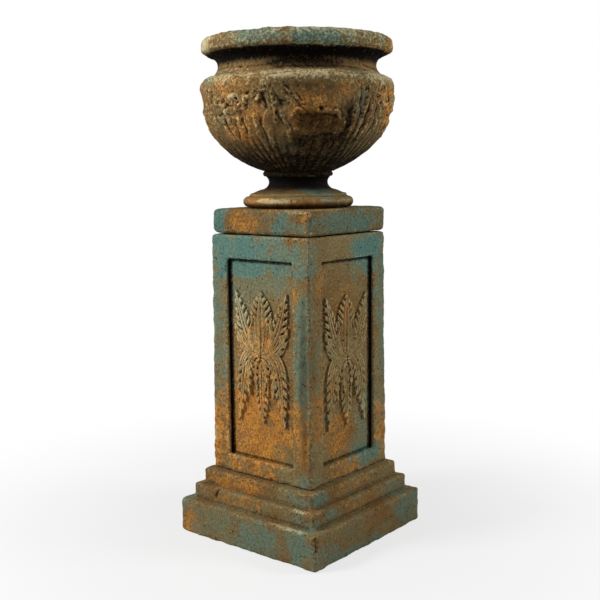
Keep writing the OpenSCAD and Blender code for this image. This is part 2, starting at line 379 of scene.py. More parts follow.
# %% [markdown]
# ## Wear
# Cast stone is never flat. The mould gives it a slow wave, the mix gives it grit, and handling takes
# bites out of its edges. Each is a Displace modifier with its own cloud texture. The bites need to know
# where the edges are: a point is on an edge where the averaged surface lies inside it.

# %% Waves, grit and chipped edges
# A point counts in full as an edge or a hollow where the averaged surface is this share of the spread away
FULL_FINE, FULL_BROAD = 0.16, 0.22
LEVELS = 20


def points_of(piece):
    """The piece's points as an array, in metres."""
    flat = np.empty(len(piece.data.vertices) * 3, np.float32)
    piece.data.vertices.foreach_get("co", flat)
    return flat.reshape(-1, 3).astype(float)


def set_points(piece, points):
    """Move the piece's points."""
    piece.data.vertices.foreach_set("co", points.astype(np.float32).ravel())
    piece.data.update()


def normals_of(piece):
    """The way that each point faces."""
    flat = np.empty(len(piece.data.vertices) * 3, np.float32)
    piece.data.vertex_normals.foreach_get("vector", flat)
    return flat.reshape(-1, 3).astype(float)


def averaged(points, edges, passes):
    """Move each point to the mean of its neighbours, again and again."""
    count = len(points)
    ends = np.concatenate([edges[:, 0], edges[:, 1]])
    starts = np.concatenate([edges[:, 1], edges[:, 0]])
    share = 1 / np.maximum(np.bincount(ends, minlength=count), 1)
    points = points.copy()
    for _ in range(passes):
        for axis in range(3):
            points[:, axis] = np.bincount(ends, points[starts, axis], count) * share
    return points


def hollowness(piece, spread_mm):
    """Height in mm of the averaged surface over each point: above 0 in a hollow, below 0 on an edge."""
    points = points_of(piece)
    edges = np.empty(len(piece.data.edges) * 2, np.int32)
    piece.data.edges.foreach_get("vertices", edges)
    edges = edges.reshape(-1, 2)
    voxel = np.median(np.linalg.norm(points[edges[:, 0]] - points[edges[:, 1]], axis=1)) / MM
    passes = max(2, round((spread_mm / voxel) ** 2))
    lift = averaged(points, edges, passes) - points
    return np.einsum("ij,ij->i", lift, normals_of(piece)) / MM


def push(piece, size_mm, height_mm, depth=2, contrast=1.0, bright=1.0, group="", middle=0.5):
    """Push the surface in and out by a cloud texture with lumps of about a size."""
    cloud = bpy.data.textures.new("cloud", "CLOUDS")
    cloud.noise_scale = size_mm * MM
    cloud.noise_depth = depth
    cloud.contrast = contrast
    cloud.intensity = bright
    cloud.use_clamp = True
    settings = {"texture": cloud, "strength": height_mm * MM, "mid_level": middle}
    apply_modifier(piece, "DISPLACE", vertex_group=group, **settings)


def mark(piece, name, weights):
    """Keep a weight from 0 to 1 on each point, rounded to levels, as a vertex group."""
    group = piece.vertex_groups.new(name=name)
    levels = np.round(np.clip(weights, 0, 1) * LEVELS).astype(int)
    for level in range(1, LEVELS + 1):
        group.add(np.flatnonzero(levels == level).tolist(), level / LEVELS, "REPLACE")


def weather(piece, wave_mm, grit_mm, bite_mm, edge_mm=6):
    """Wave, grit and bitten edges for one casting."""
    push(piece, 85, wave_mm * 2)
    push(piece, 16, grit_mm * 1.6, depth=3)
    push(piece, 5, grit_mm, depth=2)
    mark(piece, "edges", -hollowness(piece, edge_mm) / (FULL_BROAD * edge_mm))
    push(piece, 20, -bite_mm * 2, depth=3, contrast=2.5, group="edges", middle=0.35)
    piece.vertex_groups.clear()
    print(piece.name, "weathered:", len(piece.data.vertices), "points")


# %% [markdown]
# ## The stepped base
# The base is one casting with three treads, hollow underneath. Three cubes would show joints that the
# real one hasn't got, so one cube gets two smaller treads by inset and extrude. The mould and years of
# knocks rounded its edges, so they are bevelled before the skin goes on.

# %% Model the base
BASE_H, STEP_H, CAP_H = 0.086, 0.038, 0.037
BASE_OUT, STEP_OUT, SWELL, BASE_ROUND = 0.024, 0.0185, 0.003, 0.007
# Each cutter: its width or radius, and the heights that it runs between
BASE_HOLLOW, BASE_DRAIN = (0.250, -0.02, 0.121), (0.030, 0.1, 0.2)
base_low, base_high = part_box("pedestal_base")


def make_base():
    """Three treads, skinned and worn, with the hollow and drain cut last."""
    base = add_block(base_high.x - base_low.x + SWELL, base_low.z, base_low.z + BASE_H)
    bpy.ops.object.mode_set(mode="EDIT")
    for inset, rise in ((BASE_OUT, STEP_H), (STEP_OUT, CAP_H)):
        pick_faces(base, lambda centre, normal: normal.z > 0.9 and centre.xy.length < MM)
        bpy.ops.mesh.inset(thickness=inset)
        bpy.ops.mesh.extrude_region_move(TRANSFORM_OT_translate={"value": (0, 0, rise)})
    bpy.ops.object.mode_set(mode="OBJECT")
    apply_modifier(base, "BEVEL", width=BASE_ROUND, segments=3, limit_method="ANGLE")
    base.name = "stepped_base"
    skin(base, 2.8)
    weather(base, 1.1, 0.5, 1.8, edge_mm=7)
    cut(base, [add_block(*BASE_HOLLOW), add_rod(*BASE_DRAIN)])
    return base


base = make_base()
print("base", [round(v, 3) for v in base.dimensions])

# %% [markdown]
# ## The shaft
# The shaft is a tall, hollow casting, a little wider at its foot, with a sunk panel in each side. A
# boolean could cut the panels. Bisecting the block along the stiles and rails is simpler: it leaves one
# face on each side to push in, and that face can then be set upright while the shaft tapers.

# %% Model the shaft
STILE_W, RAIL_TOP_H, RAIL_BOTTOM_H, PANEL_FLOOR = 0.049, 0.057, 0.041, 0.138
SHAFT_TOP_W, SHAFT_ROUND, PANEL_PUSH = 0.300, 0.0035, 0.01
SHAFT_DECK_T = 0.045
shaft_low, shaft_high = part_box("pedestal_die")
SHAFT_HOLLOW, SHAFT_DRAIN = (0.224, 0.1, shaft_high.z - SHAFT_DECK_T), (0.026, 0.68, 0.76)
PANEL_LOW, PANEL_HIGH = shaft_low.z + RAIL_BOTTOM_H, shaft_high.z - RAIL_TOP_H
PANEL_HALF_W = SHAFT_TOP_W / 2 - STILE_W


def bisect(place, normal):
    """Cut all faces along a plane and keep both sides."""
    bpy.ops.mesh.select_all(action="SELECT")
    bpy.ops.mesh.bisect(plane_co=place, plane_no=normal)


def sink_panel(shaft, out):
    """Push in the middle face of the side that faces "out", down to the panel's flat floor."""
    across = Vector((-out.y, out.x, 0))
    pick_faces(
        shaft,
        lambda centre, normal: normal.dot(out) > 0.9
        and abs(centre.dot(across)) < MM
        and PANEL_LOW < centre.z < PANEL_HIGH,
    )
    bpy.ops.mesh.extrude_region_move(TRANSFORM_OT_translate={"value": out * -PANEL_PUSH})
    flatten = (1 - abs(out.x), 1 - abs(out.y), 1)
    bpy.ops.transform.resize(value=flatten, center_override=out * PANEL_FLOOR)


def make_shaft():
    """A tapered block with four sunk panels, skinned, worn and hollowed."""
    foot_w = shaft_high.x - shaft_low.x
    shaft = add_block(foot_w, shaft_low.z, shaft_high.z)
    bpy.ops.object.mode_set(mode="EDIT")
    pick_faces(shaft, lambda centre, normal: normal.z > 0.9)
    taper = (SHAFT_TOP_W / foot_w, SHAFT_TOP_W / foot_w, 1)
    bpy.ops.transform.resize(value=taper, center_override=(0, 0, shaft_high.z))
    for side in (-PANEL_HALF_W, PANEL_HALF_W):
        bisect((side, 0, 0), (1, 0, 0))
        bisect((0, side, 0), (0, 1, 0))
    bisect((0, 0, PANEL_LOW), (0, 0, 1))
    bisect((0, 0, PANEL_HIGH), (0, 0, 1))
    for out in ((0, -1, 0), (1, 0, 0), (0, 1, 0), (-1, 0, 0)):
        sink_panel(shaft, Vector(out))
    bpy.ops.object.mode_set(mode="OBJECT")
    apply_modifier(shaft, "BEVEL", width=SHAFT_ROUND, segments=2, limit_method="ANGLE")
    shaft.name = "panelled_shaft"
    skin(shaft, 3.1, smoothing=1)
    weather(shaft, 0.8, 0.6, 1.5, edge_mm=6)
    cut(shaft, [add_block(*SHAFT_HOLLOW), add_rod(*SHAFT_DRAIN)])
    return shaft


shaft = make_shaft()
print("shaft", [round(v, 3) for v in shaft.dimensions])

# %% [markdown]
# ## The slab
# The slab came out of a plain square mould, and its corners are the most rounded of all. The photograph
# shows it a little off the middle. Its holes have to stay over the dowels, so the casting is made a
# little wide and to one side, and the holes are cut afterwards, where the frame has them.

# %% Model the slab
SLEEVE_HOLE_R, DOWEL_HOLE_R, DOWEL_HOLE_H, DOWEL_PITCH = 0.0163, 0.008, 0.0306, 0.200
CAST_WIDE, CAST_ASIDE, SLAB_ROUND = 0.005, 0.0015, 0.011
UNDER_SLAB, OVER_SLAB = 0.7, 0.9
slab_low, slab_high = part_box("urn_slab")


def make_slab():
    """A rounded slab, cast a little wide and to one side, with the sleeve's hole and four dowel holes."""
    slab = add_block(slab_high.x - slab_low.x + CAST_WIDE, slab_low.z, slab_high.z)
    bpy.ops.transform.translate(value=(CAST_ASIDE, CAST_ASIDE, 0))
    settle(slab)
    apply_modifier(slab, "BEVEL", width=SLAB_ROUND, segments=4, limit_method="ANGLE")
    slab.name = "square_slab"
    skin(slab, 2.0)
    weather(slab, 0.7, 0.6, 1.6, edge_mm=7)
    corners = [(x * DOWEL_PITCH / 2, y * DOWEL_PITCH / 2) for x in (-1, 1) for y in (-1, 1)]
    hole_top = slab_low.z + DOWEL_HOLE_H
    holes = [add_rod(DOWEL_HOLE_R, UNDER_SLAB, hole_top, place) for place in corners]
    cut(slab, [add_rod(SLEEVE_HOLE_R, UNDER_SLAB, OVER_SLAB)] + holes)
    return slab


slab = make_slab()
print("slab", [round(v, 3) for v in slab.dimensions])

# %% [markdown]
# ## The turned castings
# The foot, the collar and the bowl were cast from turned moulds. A Screw modifier could turn a curve.
# Here it is done as by hand in edit mode: one point is extruded along half of the outline, and the
# outline is spun round the middle line. Round stretches come from a formula.

# %% Draw an outline and spin it
def arc(centre, wide, tall, start, end, count=10):
    """Points in mm along part of an ellipse, from one angle to another in degrees."""
    angles = [math.radians(start + (end - start) * i / count) for i in range(count + 1)]
    return [(centre[0] + wide * math.cos(a), centre[1] + tall * math.sin(a)) for a in angles]


def spin_outline(name, outline, height):
    """Extrude a point along an outline of (radius, height) in mm, close it and spin it."""
    places = [Vector((r, 0, z)) * MM + Vector((0, 0, height)) for r, z in outline + outline[:1]]
    bpy.ops.object.select_all(action="DESELECT")
    bpy.ops.mesh.primitive_plane_add(size=MM)
    piece = bpy.context.active_object
    bpy.ops.object.mode_set(mode="EDIT")
    bpy.ops.mesh.select_mode(type="VERT")
    bpy.ops.mesh.select_all(action="SELECT")
    bpy.ops.mesh.merge(type="CENTER")
    bpy.ops.transform.translate(value=places[0])
    for here, there in zip(places, places[1:]):
        bpy.ops.mesh.extrude_vertices_move(TRANSFORM_OT_translate={"value": there - here})
    bpy.ops.mesh.select_all(action="SELECT")
    bpy.ops.mesh.spin(steps=144, angle=math.tau, center=(0, 0, 0), axis=(0, 0, 1))
    bpy.ops.object.mode_set(mode="OBJECT")
    mend_normals(piece)
    piece.name = name
    return piece


print("an arc of a quarter turn has", len(arc((0, 0), 1, 1, 0, 90)), "points")

# %% [markdown]
# ## The foot
# A thick round moulding, a small fillet, and a hollow slope up to the waist, with the drain hole through
# the middle. On the real foot they are worn soft. The skin and the wear do that better than an outline
# drawn with soft corners would, because they do it unevenly.

# %% Model the foot
TORUS_R, SCOTIA_W, SCOTIA_H = 12.5, 24, 19
FOOT_R, WAIST_R, WAIST_H, FOOT_H = 133.5, 71, 59.4, 74.4
FILLET_IN, FILLET_Z, FILLET_W, FILLET_H = 21, 28.5, 5, 4
HOLE_R = SLEEVE_HOLE_R / MM
foot_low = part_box("urn_foot")[0]


def make_foot():
    """Torus, fillet, slope and hollow waist."""
    scotia_end = 180 - math.degrees(math.asin((FOOT_H - WAIST_H) / SCOTIA_H))
    outline = [(HOLE_R, 0)]
    outline += arc((FOOT_R - TORUS_R, TORUS_R), TORUS_R, TORUS_R, -90, 75)
    outline += arc((FOOT_R - FILLET_IN, FILLET_Z), FILLET_W, FILLET_H, -50, 110, 5)
    outline += arc((WAIST_R + SCOTIA_W, WAIST_H), SCOTIA_W, SCOTIA_H, 262, scotia_end)
    outline += [(HOLE_R, FOOT_H)]
    foot = spin_outline("turned_foot", outline, foot_low.z)
    skin(foot, 1.9)
    weather(foot, 1.1, 0.6, 1.2, edge_mm=5)
    return foot


foot = make_foot()
print("foot", [round(v, 3) for v in foot.dimensions])

# %% [markdown]
# ## The mortar collar
# The bowl was set in wet mortar, which was squeezed out and never struck off. The bead could be a ring of
# lumps. A spun bead pushed about by two clouds is simpler, and it is sure to be closed.

# %% Model the mortar collar
COLLAR_R, COLLAR_BEAD, SQUEEZE = 84, 5, 0.8
collar_low, collar_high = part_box("bowl_mortar_collar")


def make_collar():
    """A bead of mortar that was squeezed out unevenly."""
    height = (collar_high.z - collar_low.z) / MM
    bead = arc((COLLAR_R - COLLAR_BEAD, height / 2), COLLAR_BEAD, height / 2 + SQUEEZE, -90, 90)
    outline = [(HOLE_R, -SQUEEZE)] + bead + [(HOLE_R, height + SQUEEZE)]
    collar = spin_outline("squeezed_mortar", outline, collar_low.z)
    skin(collar, 1.5)
    push(collar, 40, 7)
    push(collar, 9, 3.0, depth=3)
    return collar


collar = make_collar()
print("collar", [round(v, 3) for v in collar.dimensions])

# %% [markdown]
# ## The bowl
# The bowl's outline runs from its seat up the long curve, over the swag band and the shoulder, into the
# neck, round the lip and back down the inside. A Solidify modifier could add the inside, but with one
# thickness all over, and the real lip is thicker than the wall.

# %% Turn the bowl
BOWL_R, SWAG_RELIEF, BELLY_H, SEAT_R = 224, 8, 162, 80
SWAG_Z, BAND_H, SHOULDER_W, SHOULDER_H = 174, 20, 26, 27
NECK_R, COVE_R, LIP_OVERHANG, LIP_H, LIP_WALL = 188, 25, 14, 40, 37
BOWL_WALL, BOWL_FLOOR, FLANGE_HOLE_R, FLANGE_T = 24, 30, 30.3, 3
BODY_TALL = BELLY_H / math.sqrt(1 - (SEAT_R / BOWL_R) ** 2)
SHOULDER_X = BOWL_R + SWAG_RELIEF - SHOULDER_W
SHOULDER_Z = SWAG_Z + BAND_H
NECK_Z = SHOULDER_Z + SHOULDER_H + COVE_R
LIP_Z = NECK_Z + COVE_R
LIP_R = NECK_R + COVE_R + LIP_OVERHANG
MOUTH_R = LIP_R - LIP_WALL
# The lip's lower edge: mm out from its full radius and mm up from its underside. Then its two round edges
LIP_EDGE = ((-7, 4), (-1, 9), (0, 15))
ROLL_W, ROLL_H, MOUTH_ROUND = 18, 17, 12
bowl_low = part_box("urn_bowl")[0]


def bowl_outside():
    """The bowl's outer outline from its seat to the top of its lip."""
    seat_turn = math.degrees(math.asin(SEAT_R / BOWL_R)) - 90
    outline = arc((0, BELLY_H), BOWL_R, BODY_TALL, seat_turn, 0, 28)
    outline += arc((SHOULDER_X, SHOULDER_Z), SHOULDER_W, SHOULDER_H, 0, 90)
    outline += arc((NECK_R + COVE_R, NECK_Z), COVE_R, COVE_R, 255, 112)
    outline += [(LIP_R + out, LIP_Z + up) for out, up in LIP_EDGE]
    return outline + arc((LIP_R - ROLL_W, LIP_Z + LIP_H - ROLL_H), ROLL_W, ROLL_H, 10, 90)


def bowl_inside():
    """The inner outline from the lip down to the drain hole."""
    inner_r, neck_in_r = BOWL_R - BOWL_WALL, NECK_R - BOWL_WALL
    inner_tall = BODY_TALL - BOWL_WALL
    floor_turn = math.degrees(math.acos((BELLY_H - BOWL_FLOOR) / inner_tall)) - 90
    mouth = (MOUTH_R + MOUTH_ROUND, LIP_Z + LIP_H - MOUTH_ROUND)
    outline = arc(mouth, MOUTH_ROUND, MOUTH_ROUND, 90, 180, 5)
    outline += [(neck_in_r, NECK_Z)]
    outline += arc((neck_in_r, SHOULDER_Z), inner_r - neck_in_r, SHOULDER_H, 90, 0)
    outline += arc((0, BELLY_H), inner_r, inner_tall, 0, floor_turn, 16)
    seat_z = BOWL_FLOOR - FLANGE_T
    outline += [(FLANGE_HOLE_R, BOWL_FLOOR), (FLANGE_HOLE_R, seat_z)]
    return outline + [(HOLE_R, seat_z), (HOLE_R, 0)]


bowl = spin_outline("swagged_bowl", bowl_outside() + bowl_inside(), bowl_low.z)
print("bowl outline", len(bowl_outside() + bowl_inside()), "points")

# %% [markdown]
# ## Place things by a ray
# A point in the photograph is a line through the scene. The line starts in the camera and the first
# surface that it meets is the place. A line that misses takes the place nearest to it.

# %% Send a ray through an image point
def tree_of(piece):
    """A tree of a piece's faces, for rays, and its points."""
    places = [piece.matrix_world @ point.co for point in piece.data.vertices]
    faces = [list(face.vertices) for face in piece.data.polygons]
    return BVHTree.FromPolygons(places, faces), places


def ray_through(x, y):
    """Where the ray starts and the way it runs."""
    data, turn = camera.data, camera.matrix_world.to_3x3()
    across = x - FRAME_PX / 2 + data.shift_x * FRAME_PX
    up = FRAME_PX / 2 - y + data.shift_y * FRAME_PX
    way = turn @ Vector((across, up, -FRAME_PX * data.lens / data.sensor_width))
    return camera.matrix_world.translation, way.normalized()


def place_at(point, piece):
    """The place on a piece that shows at a named image point."""
    tree, places = tree_of(piece)
    start, way = ray_through(*POINTS[point])
    hit = tree.ray_cast(start, way)[0]
    if hit is None:
        near = min(places, key=lambda place: (place - start).cross(way).length)
        hit = tree.find_nearest(near)[0]
    return hit


def on_image(place):
    """Where a place shows, in pixels."""
    local = camera.matrix_world.inverted() @ place
    scale = FRAME_PX * camera.data.lens / camera.data.sensor_width / -local.z
    return FRAME_PX / 2 + local.x * scale, FRAME_PX / 2 - local.y * scale


print("the middle ray runs", [round(v, 3) for v in ray_through(300, 300)[1]])

# %% [markdown]
# ## Swags, knots and ribbons
# Six knots stand round the bowl. Fruit and leaves hang in every second bay between them, and a smooth
# field lies in the others. In a worn casting these are soft lumps and ridges. The fruit is one small form,
# modelled once and copied, and the skin melts it into the bowl. Ribbons and folds are then drawn as lines.

# %% Places on the bowl
KNOTS = 6
OUTER = np.array([(z, r) for r, z in bowl_outside() if z < NECK_Z])
camera_side = math.degrees(math.atan2(camera.location.y, camera.location.x))


def turn_and_height(place):
    """A place on the bowl as degrees right of the camera's side and mm over the seat."""
    turn = math.degrees(math.atan2(place.y, place.x)) - camera_side
    return (turn + 180) % 360 - 180, (place.z - bowl_low.z) / MM


def on_bowl(turn, height, out=0.0):
    """The other way: degrees right, mm over the seat and mm out of the surface make a place."""
    angle = math.radians(camera_side + turn)
    radius = np.interp(height, OUTER[:, 0], OUTER[:, 1]) + out
    place = Vector((math.cos(angle) * radius, math.sin(angle) * radius, height))
    return place * MM + Vector((0, 0, bowl_low.z))


knots_seen = [turn_and_height(place_at(point, bowl)) for point in ("knot_left", "knot_right")]
BAY = 360 / KNOTS
FIRST_KNOT = (knots_seen[0][0] + knots_seen[1][0] - BAY) / 2
KNOT_H = (knots_seen[0][1] + knots_seen[1][1]) / 2
knot_turns = [FIRST_KNOT + number * BAY for number in range(KNOTS)]
print("knots at", [round(turn) for turn in knot_turns], "degrees,", round(KNOT_H), "mm up")

# %% Lay the fruit
FRUITS, ROSETTE = 34, 9
random.seed(11)


def add_lump(name, stretch):
    """A small round form, stretched."""
    bpy.ops.object.select_all(action="DESELECT")
    bpy.ops.mesh.primitive_ico_sphere_add(subdivisions=2, radius=1)
    lump = bpy.context.active_object
    bpy.ops.object.mode_set(mode="EDIT")
    bpy.ops.transform.resize(value=stretch, center_override=(0, 0, 0))
    bpy.ops.object.mode_set(mode="OBJECT")
    lump.name = name
    return lump


def copy_lump(lump, place, spin, radius):
    """A copy on the bowl at a place, spun by some degrees and sized in mm."""
    out = Vector((place.x, place.y, 0)).normalized()
    across = Vector((0, 0, 1)).cross(out)
    turn = Matrix((across, Vector((0, 0, 1)), out)).transposed()
    turn = (turn @ Matrix.Rotation(math.radians(spin), 3, "Z")).to_4x4()
    copy = bpy.data.objects.new(lump.name, lump.data.copy())
    copy.data.transform(Matrix.Translation(place) @ turn @ Matrix.Scale(radius * MM, 4))
    bpy.context.scene.collection.objects.link(copy)
    return copy


def lay_fruit(knot_turn):
    """Fruit and leaf tips, crowded towards the middle of the swag."""
    lumps = []
    for number in range(FRUITS):
        share = (number + random.uniform(0, 1)) / FRUITS
        full = 0.3 + 0.7 * math.sin(math.pi * share)
        height = 182 - 30 * full + random.uniform(-20, 18) * full
        place = on_bowl(knot_turn + 6 + share * 50, height, random.uniform(-6, -2))
        lumps.append(copy_lump(fruit, place, random.uniform(0, 180), random.uniform(6, 12)))
    return lumps


def lay_rosette(knot_turn):
    """A worn flower over the smooth field."""
    lumps = []
    for number in range(ROSETTE):
        place = on_bowl(knot_turn + 32 + random.uniform(-6, 6), 150 + random.uniform(-8, 9), -2)
        lumps.append(copy_lump(fruit, place, random.uniform(0, 180), random.uniform(4, 8)))
    return lumps


fruit = add_lump("fruit", (1.15, 0.85, 0.8))
lumps = []
for number, knot_turn in enumerate(knot_turns):
    lumps += lay_fruit(knot_turn) if number % 2 else lay_rosette(knot_turn)
bowl = join("swagged_bowl", [bowl] + lumps)
bpy.data.objects.remove(fruit)
skin(bowl, 3.4, smoothing=2)
print("bowl with", len(lumps), "lumps has", len(bowl.data.polygons), "faces")

# %% [markdown]
# ## Ribbons and folds
# On the bowl, ribbons hang from the knots and cloth lies in folds between them, worn to ridges and
# grooves. They could be laid on as bevelled curves, but those would keep hard edges. Here each is a line
# across the bowl, and every point near it is raised or pressed, so that ridges melt into one another.

# %% Draw the ribbons and folds
# Each line: places as (degrees from the knot, mm over the seat), width in mm at its start and end, and its
# height in mm. KNOT_LINES and STEEP_LINES hang from a knot, so their places are counted in mm from it. The
# heights are those of a fresh casting, and WORN is the share of them that is left.
WORN = 0.72
SWAG_LINES = (
    (((7, 184), (20, 160), (36, 156), (54, 176)), 26, 26, 6.5),
    (((7, 194), (20, 176), (40, 170), (55, 190)), 8, 7, 4),
    (((9, 186), (19, 164)), 17, 12, 4),
    (((20, 144), (34, 137), (46, 141), (55, 136)), 7, 6, 5),
    (((16, 142), (20, 110), (24, 78)), 6, 4, 4),
    (((24, 130), (27, 96), (29, 66)), 8, 5, 5),
    (((33, 126), (34, 95), (34, 70)), 9, 5, 5.5),
    (((41, 126), (41, 92), (40, 66)), 7, 5, 5),
    (((49, 130), (47, 96), (45, 62)), 7, 4, 4),
    (((29, 122), (31, 76)), 4, 3, -5),
    (((37.5, 122), (37, 72)), 4, 3, -5),
    (((45, 126), (43.5, 74)), 4, 3, -4),
    (((22, 129), (36, 126), (50, 129)), 4, 4, -3),
)
FIELD_LINES = (
    (((4, 209), (28, 212), (56, 209)), 5, 5, 2),
    (((8, 190), (22, 194), (36, 186)), 15, 12, -3.5),
    (((11, 186), (17, 160), (27, 128)), 5, 4, 7),
    (((7, 156), (12, 148), (15, 144)), 11, 9, -6),
    (((13, 112), (17, 133), (21, 137)), 5, 4, 6),
    (((26, 134), (43, 133), (44.5, 104)), 5, 6, 6),
    (((48, 150), (50, 104), (46, 60)), 10, 6, -4),
    (((10, 130), (12, 92), (14, 58)), 8, 5, 5),
    (((53, 160), (54, 112), (51, 62)), 7, 4, 5),
    (((56, 176), (57, 120), (54, 60)), 4, 4, -4),
)
KNOT_LINES = (
    (((0, 24), (1, 8)), 13, 11, 7),
    (((-1, 14), (-4, -6), (-8, -28)), 8, 6, 7),
    (((3, 12), (5, -18), (4, -72)), 7, 5, 7),
    (((2, -70), (0, -108)), 8, 5, 4),
    (((0, -4), (0, -36)), 5, 4, -5),
    (((-9, -34), (-8, -80), (-6, -110)), 7, 4, 4),
    (((-4, -40), (-3, -104)), 4, 3, -4),
)
STEEP_LINES = (
    (((1, 22), (2, 4)), 12, 12, 5),
    (((4, 6), (0, -50), (-4, -116)), 8, 5, 6),
    (((9, 4), (6, -50), (1, -116)), 7, 5, 5),
    (((7, 0), (3, -50), (-1, -112)), 4, 3, -5),
    (((14, -4), (17, -44), (11, -112)), 8, 5, 5),
    (((12, -12), (12, -60), (7, -112)), 4, 3, -5),
)


def outside_height(piece):
    """The piece's points, their height over the seat and radius in mm, and whether each is outside."""
    points = points_of(piece)
    height = (points[:, 2] - bowl_low.z) / MM
    radius = np.hypot(points[:, 0], points[:, 1]) / MM
    outside = radius > np.interp(height, OUTER[:, 0], OUTER[:, 1]) - BOWL_WALL / 2
    return points, height, radius, outside


def along_line(away, height, radius, start, end):
    """For points on the bowl, how far along a line each lies, 0 to 1, and how many mm off it."""
    here = np.stack([np.radians(away - start[0]) * radius, height - start[1]], 1)
    rise = np.full(len(radius), end[1] - start[1])
    line = np.stack([np.radians(end[0] - start[0]) * radius, rise], 1)
    along = np.clip((here * line).sum(1) / (line * line).sum(1), 0, 1)
    return along, np.linalg.norm(here - line * along[:, None], axis=1)


def draw(piece, groups):
    """Raise ridges and press grooves along lines. A group: its knot's turn, its height, its lines.
    The lines waver a little, start a bit low and fade out at their ends."""
    points, height, radius, outside = outside_height(piece)
    turn = np.degrees(np.arctan2(points[:, 1], points[:, 0])) - camera_side
    aside, lift = 0.5 * np.sin(height / 6 + turn * 0.7), 1.8 * np.sin(turn * 1.1 + height / 13)
    turn, height = turn + aside, height + lift
    raised, pressed = np.zeros(len(points)), np.zeros(len(points))
    for knot_turn, knot_height, lines in groups:
        away = (turn - knot_turn + 2 * BAY) % 360 - 2 * BAY
        for places, start_width, end_width, relief in lines:
            places = [
                (a + random.uniform(-1, 1), h + knot_height + random.uniform(-3, 3))
                for a, h in places
            ]
            for number, (start, end) in enumerate(zip(places, places[1:])):
                along, off = along_line(away, height, radius, start, end)
                run = (number + along) / (len(places) - 1)
                width = start_width + (end_width - start_width) * run
                share = np.clip(1.2 * (1 - off / width / 1.3), 0, 1)
                share = share * share * (3 - 2 * share) * relief * WORN
                share *= np.clip(run / 0.15, 0.3, 1) * np.clip((1 - run) / 0.3, 0.1, 1)
                raised = np.maximum(raised, share)
                pressed = np.minimum(pressed, share)
    points[:, :2] *= (1 + (raised + pressed) * outside / radius)[:, None]
    set_points(piece, points)


groups = []
for number, knot_turn in enumerate(knot_turns):
    groups.append((knot_turn, 0, SWAG_LINES if number % 2 else FIELD_LINES))
    groups.append((knot_turn, KNOT_H, STEEP_LINES if number % 2 else KNOT_LINES))
draw(bowl, groups)
print(sum(len(lines) for _, _, lines in groups), "lines drawn")

# %% [markdown]
# ## Flutes and smooth fields
# The lower bowl is fluted down to its seat, and every second bay has a smooth field that lies deeper. A
# bump texture would leave the outline smooth, and modelled flutes would be too even for hand work, so a
# formula moves the points.

# %% Flute the lower bowl and sink the fields
FLUTES, FLUTE_TOP, FLUTE_DEPTH, WRINKLE_H = 52, 108, 5, 1.0
FIELD_TURN, FIELD_HALF_W, FIELD_TOP, FIELD_LOW, FIELD_DEPTH = 30, 13, 130, 58, 3


def flute(piece):
    """Uneven flutes that run down to the seat, and faint wrinkles round the shoulder. The sums of sines
    only keep them from being regular."""
    points, height, radius, outside = outside_height(piece)
    turn = np.arctan2(points[:, 1], points[:, 0])
    fade = np.clip((FLUTE_TOP - height) / 60, 0, 1) * np.clip(height / 12, 0, 1) * outside
    wave = np.abs(np.sin(turn * FLUTES / 2 + 1.5 * np.sin(turn * 5 + height / 80))) ** 0.6 - 1.2
    wave *= 0.7 + 0.3 * np.sin(turn * 9 + 1)
    wrinkle = np.interp(height, (208, 214, 232, 240), (0, 1, 1, 0)) * outside
    wrinkle *= np.sin(height / 2.6 + 2 * np.sin(turn * 3) + np.sin(turn * 8))
    points[:, :2] *= (1 + (fade * wave * FLUTE_DEPTH + WRINKLE_H * wrinkle) / radius)[:, None]
    set_points(piece, points)


def sink_fields(piece):
    """Smooth fields that lie deeper, in every second bay."""
    points, height, radius, outside = outside_height(piece)
    turn = np.degrees(np.arctan2(points[:, 1], points[:, 0])) - camera_side - FIRST_KNOT
    from_middle = np.abs((turn + BAY) % (2 * BAY) - BAY - FIELD_TURN)
    wide = np.clip((FIELD_HALF_W - from_middle) / 3, 0, 1)
    tall = np.clip((FIELD_TOP - height) / 6, 0, 1) * np.clip((height - FIELD_LOW) / 50, 0, 1)
    level = np.interp(height, OUTER[:, 0], OUTER[:, 1]) - FIELD_DEPTH
    deeper = np.minimum(radius, level + 1.5 * np.clip(radius - level, 0, 9) / 9)
    share = wide * tall * outside
    points[:, :2] *= (1 + share * (deeper / radius - 1))[:, None]
    set_points(piece, points)


flute(bowl)
sink_fields(bowl)
print(FLUTES, "flutes, and", KNOTS // 2, "smooth fields", FIELD_DEPTH, "mm deep")

# %% [markdown]
# ## The bowl's wear
# The swags have crumbled more than anything else. They could be sculpted lump by lump. Clouds that are
# held to the swags by a vertex group do the whole band at once. The inside is plain, so it is thinned.

# %% Wear the bowl
FACES_KEPT = 0.79


def roughen_swags(piece):
    """The swags have crumbled most: soft lumps all over them, and deep pits where they stand proud."""
    _, height, radius, outside = outside_height(piece)
    band = np.interp(height, (50, 115, 200, 216), (0, 1, 1, 0)) * outside
    proud = np.clip((radius - np.interp(height, OUTER[:, 0], OUTER[:, 1]) - 1) / 3, 0, 1)
    mark(piece, "swags", band * (0.35 + 0.65 * proud))
    mark(piece, "proud", band * proud)
    push(piece, 24, 5, depth=2, group="swags")
    push(piece, 11, 4, depth=2, group="swags")
    push(piece, 9, -8, depth=1, contrast=4, bright=0.25, group="proud", middle=0)


def roughen_lip(piece):
    """The lip's face is scarred all round."""
    _, height, _, outside = outside_height(piece)
    mark(piece, "lip", (height > LIP_Z - 6) * outside)
    push(piece, 14, 3.2, depth=3, contrast=1.5, group="lip")


def thin_inside(piece):
    """The inside is plain, so a fifth of all the bowl's faces are taken out there."""
    mark(piece, "inside", ~outside_height(piece)[3])
    apply_modifier(piece, "DECIMATE", ratio=FACES_KEPT, vertex_group="inside")
    piece.vertex_groups.clear()


